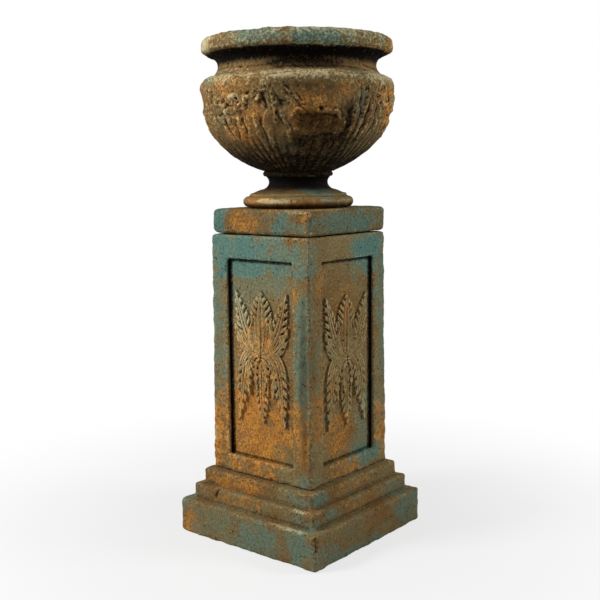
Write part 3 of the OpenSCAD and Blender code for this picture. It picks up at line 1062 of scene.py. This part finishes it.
roughen_swags(bowl)
roughen_lip(bowl)
weather(bowl, 1.8, 1.2, 1.6, edge_mm=6)
thin_inside(bowl)
print("bowl", [round(v, 3) for v in bowl.dimensions])

# %% [markdown]
# ## Blowholes and cracks
# Air left holes in the bowl, and knocks left cracks in the base. A cutter would leave a clean rim, so the
# points are pressed in along a line instead. A ray through an image point says where the line goes.

# %% Blowholes and cracks
# Each blowhole: radius and depth in mm
BLOWHOLES = {"blowhole_left": (8, 11), "blowhole_middle": (7, 9)}
# Each crack: a line in mm to the camera's right and up from its middle
CRACKS = {
    "nick_step": ((-5, -10), (4, 8), (6, 10)),
    "nick_corner": ((3, 15), (-3, 9), (5, 4), (-1, -3), (4, -8), (1, -17)),
}
CRACK_R, CRACK_DEPTH = 4.5, 5


def press(piece, places, radius_mm, depth_mm):
    """Press a rough hollow along a line of places on the piece. Gives back where it lies deepest."""
    points = points_of(piece)
    away = np.full(len(points), np.inf)
    for start, end in zip(places, places[1:] + places[-1:]):
        line = np.array(end - start)
        along = np.clip((points - np.array(start)) @ line / max(line @ line, 1e-12), 0, 1)
        away = np.minimum(away, np.linalg.norm(points - np.array(start) - along[:, None] * line, axis=1))
    away /= MM * radius_mm
    share = np.clip(1 - away * away, 0, 1) ** 0.7 * depth_mm * MM
    set_points(piece, points - normals_of(piece) * share[:, None])
    return Vector(points[away < 0.8].mean(axis=0))


seen = {}
cracks = []
for point, (radius, depth) in BLOWHOLES.items():
    seen[point] = press(bowl, [place_at(point, bowl)], radius, depth)
whole_base = tree_of(base)[0]
for point, line in CRACKS.items():
    middle = place_at(point, base)
    line = [whole_base.find_nearest(middle + from_view(across, 0, up) * MM)[0] for across, up in line]
    seen[point] = press(base, line, CRACK_R, CRACK_DEPTH)
    cracks += line
print({point: [round(v, 3) for v in place] for point, place in seen.items()})

# %% [markdown]
# ## The leaf sprays
# Each panel carries the same carved spray: leaves that stand up from a waist, and leaves that hang from
# it. An outline pushed out would be too flat. So a leaf is a grid bent along its midrib. Its edge swells
# into lobes that are swept towards the tip, with notches cut between them, and the overlapping blades get
# one fine skin.

# %% One leaf
SUNK, BACK = 2.5, 1


def bezier(points, share):
    """Places and directions along a curve with four control points, at shares from 0 to 1."""
    p = np.array(points, float)
    s = share[:, None]
    place = (1 - s) ** 3 * p[0] + 3 * s * (1 - s) ** 2 * p[1] + 3 * s * s * (1 - s) * p[2] + s ** 3 * p[3]
    way = (1 - s) ** 2 * (p[1] - p[0]) + 2 * s * (1 - s) * (p[2] - p[1]) + s * s * (p[3] - p[2])
    return place, way / np.linalg.norm(way, axis=1)[:, None]


def dent(value, middle, width):
    """A smooth groove of depth 1 where a value passes its middle."""
    return np.exp(-(((value - middle) / width) ** 2))


def add_leaf(midrib, half, lobes, rise, smooth):
    """A leaf on the XZ plane in mm, rising towards -Y. Below the share "smooth" its edge has no lobes."""
    bpy.ops.object.select_all(action="DESELECT")
    bpy.ops.mesh.primitive_grid_add(x_subdivisions=36, y_subdivisions=lobes * 14, size=2)
    leaf = bpy.context.active_object
    points = points_of(leaf)
    across, share = points[:, 0], (points[:, 1] + 1) / 2
    side = np.abs(across)
    place, way = bezier(midrib, share)
    lobed = np.clip((share - smooth) / 0.12, 0, 1)
    outer = np.clip((side - 0.42) / 0.2, 0, 1)
    beat = np.abs(np.sin(math.pi * lobes * share))
    notch = lobed * outer * np.clip((0.95 - 0.35 * side - beat) / 0.4, 0, 1)
    width = half * (0.3 + 0.7 * np.sin(math.pi * share ** 0.8)) * (1 - share ** 7)
    reach = across * width * (1 - 0.22 * notch * side ** 3)
    ahead = 0.75 * width * side ** 1.6
    normal = np.stack([way[:, 1], -way[:, 0]], axis=1)
    flat = place + normal * reach[:, None] + way * ahead[:, None]
    height = 1 - 0.3 * side ** 2 - 0.5 * dent(across, 0, 0.08) * (1 - 0.6 * share)
    height -= 0.22 * dent(side, 0.42, 0.07) + 0.25 * (1 - lobed) * dent(side, 0.72, 0.07)
    height += lobed * outer * (0.22 * beat - 0.1)
    height -= 0.95 * notch
    rise = rise * np.maximum(height, 0.05)
    set_points(leaf, np.stack([flat[:, 0], -rise, flat[:, 1]], axis=1) * MM)
    bpy.ops.object.mode_set(mode="EDIT")
    bpy.ops.mesh.select_all(action="SELECT")
    bpy.ops.mesh.extrude_region_move(TRANSFORM_OT_translate={"value": (0, BACK * MM, 0)})
    bpy.ops.transform.resize(value=(1, 0, 1), center_override=(0, SUNK * MM, 0))
    bpy.ops.object.mode_set(mode="OBJECT")
    mend_normals(leaf)
    return leaf


# Midrib as four points in mm from the waist, half width, lobes, rise, share without lobes, and whether
# the leaf has a twin on the other side
LEAVES = (
    (((0, 0), (0, 50), (0, 100), (0, 152)), 33, 9, 8.5, 0.42, False),
    (((8, 2), (46, 30), (60, 84), (80, 152)), 22, 9, 8.0, 0.34, True),
    (((12, 0), (48, 0), (68, 28), (84, 74)), 13, 4, 8.0, 0.45, True),
    (((4, 4), (32, 8), (46, 46), (24, 78)), 9, 2, 10.5, 1.0, True),
    (((0, -16), (0, -66), (0, -115), (4, -170)), 20, 8, 8.0, 0.40, False),
    (((4, -2), (68, 14), (52, -80), (74, -172)), 21, 10, 9.0, 0.38, True),
    (((2, -4), (40, 6), (48, -56), (35, -106)), 13, 6, 10.5, 0.30, True),
    (((2, -10), (18, -14), (22, -52), (9, -90)), 8, 5, 11.0, 0.30, True),
)


def make_spray():
    """All leaves of one spray under one skin, round the waist's place."""
    leaves = []
    for midrib, half, lobes, rise, smooth, twin in LEAVES:
        leaves.append(add_leaf(midrib, half, lobes, rise, smooth))
        if twin:
            leaves.append(add_leaf([(-u, z) for u, z in midrib], half, lobes, rise, smooth))
    spray = join("spray", leaves)
    skin(spray, 1.2, smoothing=1)
    return spray


spray = make_spray()
print("spray", [round(v, 3) for v in spray.dimensions], len(spray.data.polygons), "faces")

# %% Lay a spray on each panel
SPRAY_WAIST, SIDE_DROP = 0.300, 0.011
FACES = {"front": 0, "right": 90, "back": 180, "left": 270}


def lay_spray(face):
    """A copy of the spray on one face's panel, with wear of its own."""
    copy = bpy.data.objects.new(face + "_spray", spray.data.copy())
    bpy.context.scene.collection.objects.link(copy)
    waist = shaft_low.z + SPRAY_WAIST - SIDE_DROP * (face in ("right", "left"))
    turn = Matrix.Rotation(math.radians(FACES[face]), 4, "Z")
    copy.data.transform(turn @ Matrix.Translation((0, -PANEL_FLOOR, waist)))
    push(copy, 30, 1.4)
    push(copy, 6, 0.9)
    return copy


sprays = {face: lay_spray(face) for face in FACES}
bpy.data.objects.remove(spray)
print("sprays on", ", ".join(sprays))

# %% [markdown]
# ## Paint in strokes
# The stain was brushed on, so its patches follow no rule. Each casting carries two colour attributes.
# "relief" says how hollow or exposed each point is, at a fine and a broad scale. "stain" says where the
# painter laid rust, verdigris, soot and cream, as strokes with a place, a radius in mm and an amount. The
# soot strokes and rings also lay painted shade, and the cream strokes painted highlights.
# Where strokes of one stain meet, the stronger one shows, so their order doesn't matter.

# %% Strokes and relief
# The stains, and how ragged the edges of their strokes are
# Soot strokes stand for real soot and for painted shade, and cream strokes for rubbed pale stone and for
# painted highlights
STAINS = {"rust": 0.5, "verdigris": 0.5, "soot_and_shade": 0.2, "cream_and_highlight": 0.5}
RAGGED_MM = 36


def store(piece, name, channels):
    """Write four channels, 0 to 1, as a colour attribute on the points."""
    layer = piece.data.color_attributes.new(name, "FLOAT_COLOR", "POINT")
    values = np.clip(np.stack(channels, axis=1), 0, 1).astype(np.float32)
    layer.data.foreach_set("color", values.ravel())


def record_relief(piece, fine_mm=2.5, broad_mm=10):
    """Store how hollow and how exposed each point is, at a fine and a broad scale."""
    fine = hollowness(piece, fine_mm) / (FULL_FINE * fine_mm)
    broad = hollowness(piece, broad_mm) / (FULL_BROAD * broad_mm)
    store(piece, "relief", [fine, -fine, broad, -broad])


def brush(piece, strokes, rings=()):
    """Store the painter's strokes. A stroke: its stain, place, radii and amount. A ring is soot and painted
    shade all round: four heights, from where it starts to where it ends, its least and largest radius, and
    its amount."""
    points = points_of(piece) / MM
    ragged = np.array([noise.fractal(Vector(p) / RAGGED_MM, 0.8, 2.1, 4) for p in points])
    channels = {stain: np.zeros(len(points)) for stain in STAINS}
    for stain, place, radius, amount in strokes:
        away = np.linalg.norm((points - np.array(place)) / np.array(radius), axis=1)
        share = np.clip((1.3 + STAINS[stain] * ragged - away) / 0.9, 0, 1)
        channels[stain] = np.maximum(channels[stain], amount * share * share * (3 - 2 * share))
    radius = np.hypot(points[:, 0], points[:, 1])
    for heights, least, largest, amount in rings:
        share = np.interp(points[:, 2], heights, (0, 1, 1, 0))
        share *= np.clip((largest - radius) / 8, 0, 1) * (radius > least)
        channels["soot_and_shade"] = np.maximum(channels["soot_and_shade"], share * amount)
    store(piece, "stain", [channels[stain] for stain in STAINS])


def rows_of(groups):
    """The rows of all stains, each with its stain in front."""
    return [(stain, *row) for stain, rows in groups.items() for row in rows]


def on_face(face, groups, depth=60, front=-150):
    """Strokes on one face of the pedestal, to a depth in mm round a plane at its front. A row: mm right,
    mm up, radius across, radius up, amount."""
    turn = Matrix.Rotation(math.radians(FACES[face]), 3, "Z")
    strokes = []
    for stain, across, up, wide, tall, amount in rows_of(groups):
        radius = turn @ Vector((wide, depth, 0))
        radius = (abs(radius.x), abs(radius.y), tall)
        strokes.append((stain, turn @ Vector((across, front, up)), radius, amount))
    return strokes


def round_bowl(groups):
    """Strokes round the bowl. A row: degrees right, mm over the seat, radius across, radius up, amount."""
    return [
        (stain, on_bowl(turn, height) / MM, (wide, wide, tall), amount)
        for stain, turn, height, wide, tall, amount in rows_of(groups)
    ]


def round_foot(groups):
    """Strokes on the foot. A row: mm right, towards the camera and up, radius across, radius up, amount."""
    return [
        (stain, from_view(across, towards, up), (wide, wide, tall), amount)
        for stain, across, towards, up, wide, tall, amount in rows_of(groups)
    ]


def both_sides(strokes):
    """The strokes, and the same ones turned half round for the sides that the photograph hides."""
    return strokes + [(stain, (-x, -y, z), radius, amount) for stain, (x, y, z), radius, amount in strokes]


print("stains:", ", ".join(STAINS))

# %% Strokes on the shaft
SHAFT_STROKES = both_sides(on_face("front", {
    "rust": (
        (130, 260, 24, 60, 0.6), (108, 612, 18, 26, 0.7), (-20, 470, 110, 110, 0.45),
        (-40, 280, 140, 140, 0.9), (-140, 250, 30, 110, 1.0), (120, 320, 34, 70, 0.7),
        (50, 275, 50, 50, 0.5), (40, 430, 50, 120, 0.3),
    ),
    "verdigris": (
        (-60, 700, 130, 90, 1.05), (60, 690, 120, 60, 0.8), (-140, 600, 26, 140, 0.7),
        (-85, 600, 30, 50, 0.6), (-143, 420, 18, 120, 0.35), (128, 480, 28, 170, 0.7),
        (136, 180, 24, 24, 0.6), (-60, 570, 40, 60, 0.4), (-20, 632, 130, 40, 0.55),
    ),
    "soot_and_shade": (
        (137, 400, 20, 260, 0.5), (137, 290, 20, 100, 0.25),
    ),
    # Pale rub, with painted highlights on the lit parts of the front face
    "cream_and_highlight": (
        (-60, 480, 50, 70, 0.35), (-142, 260, 12, 80, 0.35), (-90, 250, 70, 60, 0.35),
        (-64, 560, 36, 50, 0.5), (-50, 290, 50, 40, 0.2),
    ),
}) + on_face("right", {
    "rust": (
        (-105, 640, 30, 40, 0.4), (0, 580, 60, 60, 0.3), (-30, 260, 70, 70, 0.6),
        (-120, 330, 34, 90, 0.5), (10, 180, 110, 30, 0.5), (-50, 420, 60, 70, 0.25),
        (-47, 365, 40, 40, 0.35),
    ),
    "verdigris": (
        (-130, 700, 30, 60, 0.35), (80, 700, 90, 60, 1.0), (142, 500, 22, 260, 0.6),
        (70, 270, 40, 60, 0.5), (80, 200, 70, 34, 0.85), (92, 330, 18, 50, 0.6),
        (-140, 560, 14, 120, 0.4), (-140, 240, 14, 50, 0.4), (130, 300, 30, 80, 0.4),
        (50, 660, 50, 40, 0.5),
    ),
    "soot_and_shade": (
        (142, 480, 20, 320, 0.2),
    ),
    # Pale rub, with painted highlights on the lit parts of the right face
    "cream_and_highlight": (
        (50, 660, 50, 40, 0.3), (-61, 574, 40, 50, 0.3), (60, 300, 36, 50, 0.35),
    ),
}))
# Dark wash and painted shade on the side walls of each panel, and a painted shadow under its top rail:
# where they lie, and their depth and front plane
PANEL_MIDDLE = (PANEL_HIGH + PANEL_LOW) / 2 / MM
PANEL_WASH_AND_SHADE = [(side * PANEL_HALF_W / MM, PANEL_MIDDLE, 4, 900, 1.0) for side in (-1, 1)]
PANEL_WASH_AND_SHADE.append((0, PANEL_HIGH / MM, 300, 3, 0.9))
for face in FACES:
    SHAFT_STROKES += on_face(face, {"soot_and_shade": PANEL_WASH_AND_SHADE}, depth=7, front=-141)
print(len(SHAFT_STROKES), "strokes on the shaft")

# %% Strokes on the base and slab
BASE_REACH = {"depth": 90, "front": -205}
BASE_STROKES = both_sides(on_face("front", {
    "rust": (
        (-186, 36, 34, 44, 1.0), (-60, 105, 110, 18, 0.5), (-60, 143, 120, 20, 0.7),
        (10, 60, 30, 16, 0.35),
    ),
    "verdigris": (
        (-80, 45, 90, 60, 0.4), (40, 40, 110, 50, 0.7), (165, 50, 50, 60, 0.75), (-20, 50, 90, 50, 0.3),
        (150, 106, 60, 18, 0.55), (130, 142, 50, 18, 0.6), (-195, 96, 40, 14, 0.5),
    ),
    # Painted highlights along the tread edges
    "cream_and_highlight": (
        (130, 88, 60, 6, 0.6), (150, 124, 40, 6, 0.6),
    ),
}, **BASE_REACH) + on_face("right", {
    "rust": (
        (-20, 140, 80, 20, 0.45), (0, 105, 90, 16, 0.4), (20, 55, 70, 20, 0.3),
    ),
    "verdigris": (
        (-140, 143, 34, 24, 0.8), (-130, 105, 44, 16, 0.6), (-60, 8, 190, 16, 0.7),
        (170, 50, 70, 60, 0.7), (-180, 30, 60, 40, 0.5), (140, 108, 80, 20, 0.45),
        (-60, 50, 120, 40, 0.3),
    ),
    "soot_and_shade": (
        (90, 40, 200, 80, 0.22),
    ),
}, **BASE_REACH))
SLAB_STROKES = both_sides(on_face("front", {
    "rust": (
        (-50, 778, 50, 45, 0.7), (140, 785, 12, 30, 0.6), (60, 806, 90, 8, 0.5),
    ),
    "verdigris": (
        (-130, 780, 34, 50, 1.0), (72, 772, 50, 34, 0.85),
    ),
    # A painted highlight along the slab's top edge
    "cream_and_highlight": (
        (110, 803, 40, 8, 0.4),
    ),
}) + on_face("right", {
    "rust": (
        (-60, 808, 90, 8, 0.6),
    ),
    "verdigris": (
        (0, 775, 170, 40, 0.75), (60, 770, 60, 30, 0.9),
    ),
}))
print(len(BASE_STROKES), "strokes on the base,", len(SLAB_STROKES), "on the slab")

# %% Strokes on the bowl and foot, and in the cracks
BOWL_STROKES = both_sides(round_bowl({
    "rust": (
        (-40, 165, 70, 45, 0.5), (66, 168, 36, 34, 0.75), (58, 182, 30, 18, 0.4),
        (-16, 128, 24, 30, 0.4), (-34, 110, 60, 34, 0.45), (10, 130, 70, 60, 0.6),
        (74, 146, 40, 50, 0.75), (-42, 84, 50, 30, 0.6), (-24, 122, 34, 40, 0.6),
        (28, 178, 40, 20, 0.4), (80, 290, 50, 30, 0.9), (-30, 226, 60, 12, 0.3), (45, 280, 40, 8, 0.5),
    ),
    "verdigris": (
        (-24, 292, 90, 26, 0.75), (14, 294, 100, 30, 0.9), (50, 300, 60, 20, 0.6),
        (-70, 288, 50, 16, 0.45), (60, 212, 40, 16, 0.5), (-72, 300, 36, 20, 0.35),
        (-64, 214, 26, 26, 0.5), (40, 150, 16, 50, 0.4), (-10, 56, 60, 26, 0.3),
        (40, 214, 90, 16, 0.35),
    ),
    # Soot with painted shade: the bowl darker low down and towards its middle, and a painted shadow under
    # the middle of the lip
    "soot_and_shade": (
        (12, 112, 70, 40, 0.72), (20, 62, 130, 42, 0.8), (30, 120, 34, 44, 0.7),
        (-50, 36, 110, 30, 0.35), (8, 184, 90, 18, 0.42), (6, 240, 130, 20, 0.8),
        (-36, 178, 40, 14, 0.3), (-33, 136, 34, 16, 0.25), (42, 130, 50, 50, 0.5),
        (-14, 112, 30, 30, 0.5),
    ),
    # Pale rub and painted highlights: the top of the lip, its lower edge, the ridge under the shoulder and
    # lit lumps
    "cream_and_highlight": (
        (66, 160, 30, 14, 0.4), (-72, 296, 60, 26, 0.95), (-50, 222, 90, 20, 0.55),
        (60, 214, 100, 18, 0.8), (6, 214, 160, 16, 0.62), (0, 228, 120, 14, 0.4),
        (20, 273, 110, 4, 0.6), (25, 306, 130, 18, 0.4), (-38, 166, 26, 8, 0.5),
        (-18, 200, 12, 16, 0.45), (-50, 236, 50, 12, 0.4),
    ),
}))
FOOT_STROKES = both_sides(round_foot({
    "rust": (
        (-90, 80, 818, 70, 22, 0.6), (20, 120, 815, 60, 14, 0.6),
    ),
    "verdigris": (
        (45, 80, 845, 40, 26, 0.8), (70, 100, 826, 24, 8, 0.7), (110, 60, 835, 30, 14, 0.4),
    ),
    # Painted highlights along the top of the torus
    "cream_and_highlight": (
        (-60, 110, 824, 60, 6, 0.8), (90, 90, 824, 60, 5, 0.4),
    ),
}))
# Painted shade inside the blowholes
for point, (radius, _) in BLOWHOLES.items():
    BOWL_STROKES.append(("soot_and_shade", seen[point] / MM, (radius, radius, radius), 1.0))
# Painted shade in the cracks. A longer step is the jump from one crack to the next
CRACK_STEP, CRACK_SHADE = 0.02, (3.5, 3.5, 3.5)
for start, end in zip(cracks, cracks[1:]):
    if (end - start).length < CRACK_STEP:
        for share in (0, 0.5, 1):
            BASE_STROKES.append(("soot_and_shade", start.lerp(end, share) / MM, CRACK_SHADE, 1.0))
print(len(BOWL_STROKES), "strokes on the bowl,", len(FOOT_STROKES), "on the foot")

# %% Lay the strokes on the castings
# Soot and painted shade that run all round, as brush() takes them: a painted shadow under the lip,
# dark patina with painted shade low on the bowl, and painted shade on the lower part of the torus and
# round the foot's waist and the mortar collar under the bowl
UNDER_LIP = ((1129, 1147, 1164, 1168), 176, 222, 1.0)
UNDER_TORUS = ((800, 806, 814, 828), 0, 300, 0.85)
LOWER_BOWL = ((870, 892, 920, 1010), 0, 300, 0.88)
FOOT_WAIST = ((828, 858, 900, 910), 0, 300, 1.0)
for piece, strokes in ((base, BASE_STROKES), (shaft, SHAFT_STROKES), (slab, SLAB_STROKES)):
    record_relief(piece)
    brush(piece, strokes)
for piece, strokes, rings in (
    (bowl, BOWL_STROKES, (UNDER_LIP, LOWER_BOWL)),
    (foot, FOOT_STROKES, (FOOT_WAIST, UNDER_TORUS)),
    (collar, [], (FOOT_WAIST,)),
):
    record_relief(piece, 3, 11)
    brush(piece, strokes, rings)
for copy in sprays.values():
    record_relief(copy, 1.6, 6)
    brush(copy, SHAFT_STROKES)
print("relief and stains stored")

# %% [markdown]
# ## The patina
# One recipe serves every casting, with its own ground colour. From the bottom up: a ground that drifts
# between two earths, rust and verdigris where strokes and noise agree, a gritty speckle, soot with painted
# shade, a pale rub on what stands proud with painted highlights from the cream strokes, and a dark wash with
# painted shade in hollows and pits. Roughness and bump follow the same noise.

# %% The patina recipe
OLIVE = screen_colour(124, 110, 74)
EARTH = screen_colour(118, 90, 54)
UMBER = screen_colour(110, 92, 60)
RUST = screen_colour(180, 124, 56)
RUST_DEEP = screen_colour(138, 90, 42)
GREY_GREEN = screen_colour(100, 118, 100)
TEAL = screen_colour(80, 116, 108)
# Pale stone, for rubbed edges and for painted highlights
CREAM_AND_HIGHLIGHT = screen_colour(200, 188, 144)
# Near black, for dark wash and soot and for painted shade
WASH_AND_SHADE = screen_colour(10, 8, 5)
SLOW_MM, PATCH_MM, GRAIN_MM, GRIT_MM, BUMP_MM = 100, 26, 6, 2.6, 2.2
PITS_PER_M = 110.0


def noise_of(flow, spot, size_mm, detail=4.0, rough=0.6):
    """Noise with lumps of about a size, on the piece's own coordinates."""
    links = {"Vector": spot, "Scale": 1 / (size_mm * MM), "Detail": detail, "Roughness": rough}
    return flow.node("TexNoise", links)


def channels_of(flow, name):
    """The four channels of a colour attribute."""
    colour = flow.node("Attribute", attribute_name=name, attribute_type="GEOMETRY")
    parts = colour.node("SeparateColor", {0: colour})
    return parts, parts.other(1), parts.other(2), colour.other(3)


def patina(name, ground, drift, tone=1.0, wash_and_shade=1.0, rub=1.0, speckle=1.0):
    """Weathered, stained casting stone, from a ground colour and the colour that it drifts to, with painted
    shade in hollows and soot strokes and painted highlights in cream strokes.
    """
    material, flow = new_finish(name, shine=0.05)
    spot = flow.node("TexCoord", out=3)
    hollow, edge, valley, ridge = channels_of(flow, "relief")
    rust, verdigris, soot_and_shade, cream_and_highlight = channels_of(flow, "stain")
    slow = noise_of(flow, spot, SLOW_MM, 5, 0.6)
    patch = noise_of(flow, spot, PATCH_MM, 6, 0.7) - 0.5
    grain = noise_of(flow, spot, GRAIN_MM, 5, 0.75)
    grit = noise_of(flow, spot, GRIT_MM, 3, 0.7)
    speck = (grain - 0.5) * speckle
    where = noise_of(flow, spot, PATCH_MM, 2)
    cells = flow.node("TexVoronoi", {"Vector": spot, "Scale": PITS_PER_M}, feature="F1")
    pits = cells.step(0.1, 0.26, 1, 0) * where.step(0.5, 0.6)

    colour = slow.step(0.35, 0.65).mix(ground, drift)
    rusty = (rust + patch * 1.1 + speck * 0.7).step(0.05, 1.0)
    colour = rusty.mix(colour, (patch + speck * 0.5).step(-0.2, 0.16).mix(RUST_DEEP, RUST))
    green = (verdigris - patch * 0.9 + speck * 0.7).step(0.05, 1.0)
    colour = green.mix(colour, (verdigris + patch * 1.5).step(0.6, 1.2).mix(GREY_GREEN, TEAL))
    mottle = (speck + 0.5).step(0.28, 0.72, 0.7 * tone, 1.26 * tone) * grit.step(0.3, 0.7, 0.84, 1.14)
    shade = flow.node("CombineColor", {0: mottle, 1: mottle, 2: mottle})
    both = {0: 1.0, 6: colour, 7: shade}
    colour = flow.node("Mix", both, out=2, data_type="RGBA", blend_type="MULTIPLY")
    # Soot, which also stands for painted shade under the lip, round the foot's waist, low on the bowl, in
    # the panel corners, holes and cracks, darkens the colour towards near black
    soot_and_shade_share = (soot_and_shade - edge * 0.35 - ridge * 0.15 + speck * 0.8 + patch * 0.5).step(0.05, 0.95)
    colour = soot_and_shade_share.mix(colour, WASH_AND_SHADE)
    # Edges and ridges rubbed pale are wear; the cream strokes add painted highlights on lit edges, tops and
    # lumps
    pale = edge * 0.45 * rub + ridge * 0.2 * rub + cream_and_highlight * 0.9 + speck * 1.4 - hollow * 0.4 - soot_and_shade * 0.3
    colour = pale.step(0.25, 1.1, 0, 0.68).mix(colour, CREAM_AND_HIGHLIGHT)
    # Hollows, broad valleys and pits darken towards near black: a dark wash, with painted shade where they
    # would lie in shadow
    dark = (hollow * 0.8 + valley * 0.3 + speck * 0.8).step(0.3, 1.1, 0, 0.88 * wash_and_shade).most(pits * 0.8)
    feed(flow.tree, dark.mix(colour, WASH_AND_SHADE), "Base Color")
    feed(flow.tree, grain.step(0.3, 0.7, 0.72, 0.93), "Roughness")
    height = grain * 0.6 + grit * 0.3 + patch * 0.3 - pits * 1.2
    bump = flow.node("Bump", {"Height": height, "Strength": 0.9, "Distance": BUMP_MM * MM})
    feed(flow.tree, bump, "Normal")
    return material


def dress(piece, body, node, material):
    """Give a finished piece its finish and its body, and hide the frame's node that it stands for."""
    piece.data.materials.clear()
    piece.data.materials.append(material)
    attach(piece, body)
    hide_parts(node)


base_patina = patina("base_patina", OLIVE, EARTH, 0.92, wash_and_shade=0.8, rub=0.6, speckle=1.25)
dress(base, "pedestal", "pedestal_base", base_patina)
shaft_patina = patina("shaft_patina", OLIVE, EARTH, rub=0.6, speckle=1.6)
dress(shaft, "pedestal", "pedestal_die", shaft_patina)
# The leaves' stronger hollow darkening adds painted shade in their notches
leaf_patina = patina("leaf_patina", OLIVE, EARTH, 1.25, wash_and_shade=1.35, rub=1.2)
for face, copy in sprays.items():
    dress(copy, "pedestal", "leaf_spray_" + face, leaf_patina)
slab_patina = patina("slab_patina", OLIVE, EARTH, 0.8, speckle=1.5)
dress(slab, "urn", "urn_slab", slab_patina)
foot_patina = patina("foot_patina", EARTH, OLIVE)
dress(foot, "urn", "urn_foot", foot_patina)
# The collar's low tone and faint rub are painted shade, deep under the bowl
collar_patina = patina("collar_patina", OLIVE, EARTH, 0.4, rub=0.1)
dress(collar, "urn", "bowl_mortar_collar", collar_patina)
bowl_patina = patina("bowl_patina", UMBER, EARTH, 1.08, rub=0.9, speckle=2.3)
dress(bowl, "urn", "urn_bowl", bowl_patina)
print("patinas:", ", ".join(name for name in bpy.data.materials.keys() if name.endswith("patina")))

# %% [markdown]
# ## What holds it together
# Mortar beds, steel dowels, rubber pads and the drain sleeve keep their CAD shapes, because they are
# plain in reality. They still get finishes of their own: they show when the urn is lifted off.

# %% Finishes for beds, dowels, pads and sleeve
def mottled(name, dark, light, size_mm, roughness, metallic=0.0, bump_mm=0.2, squash=1.0):
    """Two tones of noise with a matching bump, for the plain small parts."""
    material, flow = new_finish(name, roughness, 0.4)
    material.node_tree.nodes["Principled BSDF"].inputs["Metallic"].default_value = metallic
    spot = flow.node("Mapping", {"Vector": flow.node("TexCoord", out=3), "Scale": (1, 1, squash)})
    both = noise_of(flow, spot, size_mm, 5, 0.7) * 0.65 + noise_of(flow, spot, size_mm / 5, 3) * 0.35
    feed(flow.tree, both.step(0.35, 0.65).mix(screen_colour(*dark), screen_colour(*light)), "Base Color")
    feed(flow.tree, both.step(0.3, 0.7, roughness - 0.12, roughness + 0.08), "Roughness")
    feed(flow.tree, flow.node("Bump", {"Height": both, "Distance": bump_mm * MM}), "Normal")
    return material


mortar = mottled("sandy_mortar", (96, 90, 78), (148, 140, 122), 4, 0.9, bump_mm=0.8)
steel = mottled("galvanised_steel", (120, 122, 124), (176, 180, 182), 5, 0.45, 1.0, 0.1, squash=0.25)
rubber = mottled("pad_rubber", (18, 18, 19), (38, 38, 39), 3, 0.7)
plastic = mottled("sleeve_plastic", (66, 70, 74), (84, 88, 92), 12, 0.5, bump_mm=0.05)
KEPT = {
    "die_mortar_bed": mortar, "foot_mortar_bed": mortar, "base_dowels": steel,
    "locating_dowels": steel, "setting_pads": rubber, "drain_sleeve": plastic,
}
for name, material in KEPT.items():
    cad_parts[name].data.materials.clear()
    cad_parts[name].data.materials.append(material)
print("finished:", ", ".join(KEPT))

# %% [markdown]
# ## Measure
# The scene is brought up to date, so that the finished points can be measured.

bpy.context.view_layer.update()

# %% [markdown]
# ## Compare the image points
# Every named point is compared with where its edge, corner or middle shows in the finished scene, but the
# differences are neither printed nor kept. Edges are taken from the finished points of the pieces.

CORNERS = {
    "shaft_top_left": (-1, 0, 1), "shaft_top_near": (0, 1, 1), "shaft_top_right": (1, 0, 1),
    "shaft_foot_left": (-1, 0, -1), "shaft_foot_near": (0, 1, -1), "shaft_foot_right": (1, 0, -1),
}
KNOT_SPREAD = 10


def shown(piece):
    """All points of a piece as they show, one row of x and y in pixels for each."""
    inverse = np.array(camera.matrix_world.inverted())
    local = points_of(piece) @ inverse[:3, :3].T + inverse[:3, 3]
    scale = FRAME_PX * camera.data.lens / camera.data.sensor_width / -local[:, 2]
    return np.stack([FRAME_PX / 2 + local[:, 0] * scale, FRAME_PX / 2 - local[:, 1] * scale], axis=1)


def middle_of(piece, place):
    """Where the finished points round a place show, on average."""
    near = np.linalg.norm(points_of(piece) - np.array(place), axis=1) < KNOT_SPREAD * MM
    return shown(piece)[near].mean(axis=0)


whole = np.concatenate([shown(piece) for piece in (base, shaft, slab, foot, bowl)])
places = {
    "object_left": (whole[:, 0].min(), None), "object_right": (whole[:, 0].max(), None),
    "object_top": (None, whole[:, 1].min()), "object_bottom": (None, whole[:, 1].max()),
}
for point, (across, towards, up) in CORNERS.items():
    furthest = np.argmax(points_of(shaft) @ np.array(from_view(across, towards, up)))
    places[point] = shown(shaft)[furthest]
bowl_height = (points_of(bowl)[:, 2] - bowl_low.z) / MM
on_lip, on_neck = shown(bowl)[bowl_height > LIP_Z], shown(bowl)[bowl_height > SHOULDER_Z]
places["rim_left"] = (on_lip[:, 0].min(), None)
places["rim_right"] = (on_lip[:, 0].max(), None)
rows = np.round(on_neck[:, 1] / 2).astype(int)
lefts = [on_neck[rows == row, 0].min() for row in np.unique(rows)[4:-4]]
rights = [on_neck[rows == row, 0].max() for row in np.unique(rows)[4:-4]]
places["neck_left"], places["neck_right"] = (max(lefts), None), (min(rights), None)
for point, number in (("knot_left", 0), ("knot_right", 1)):
    places[point] = middle_of(bowl, on_bowl(FIRST_KNOT + number * 360 / KNOTS, KNOT_H))
for point, place in seen.items():
    places[point] = on_image(place)
for point, wanted in POINTS.items():
    [
        None if want is None or shows is None else round(float(shows - want), 1)
        for want, shows in zip(wanted, places[point])
    ]
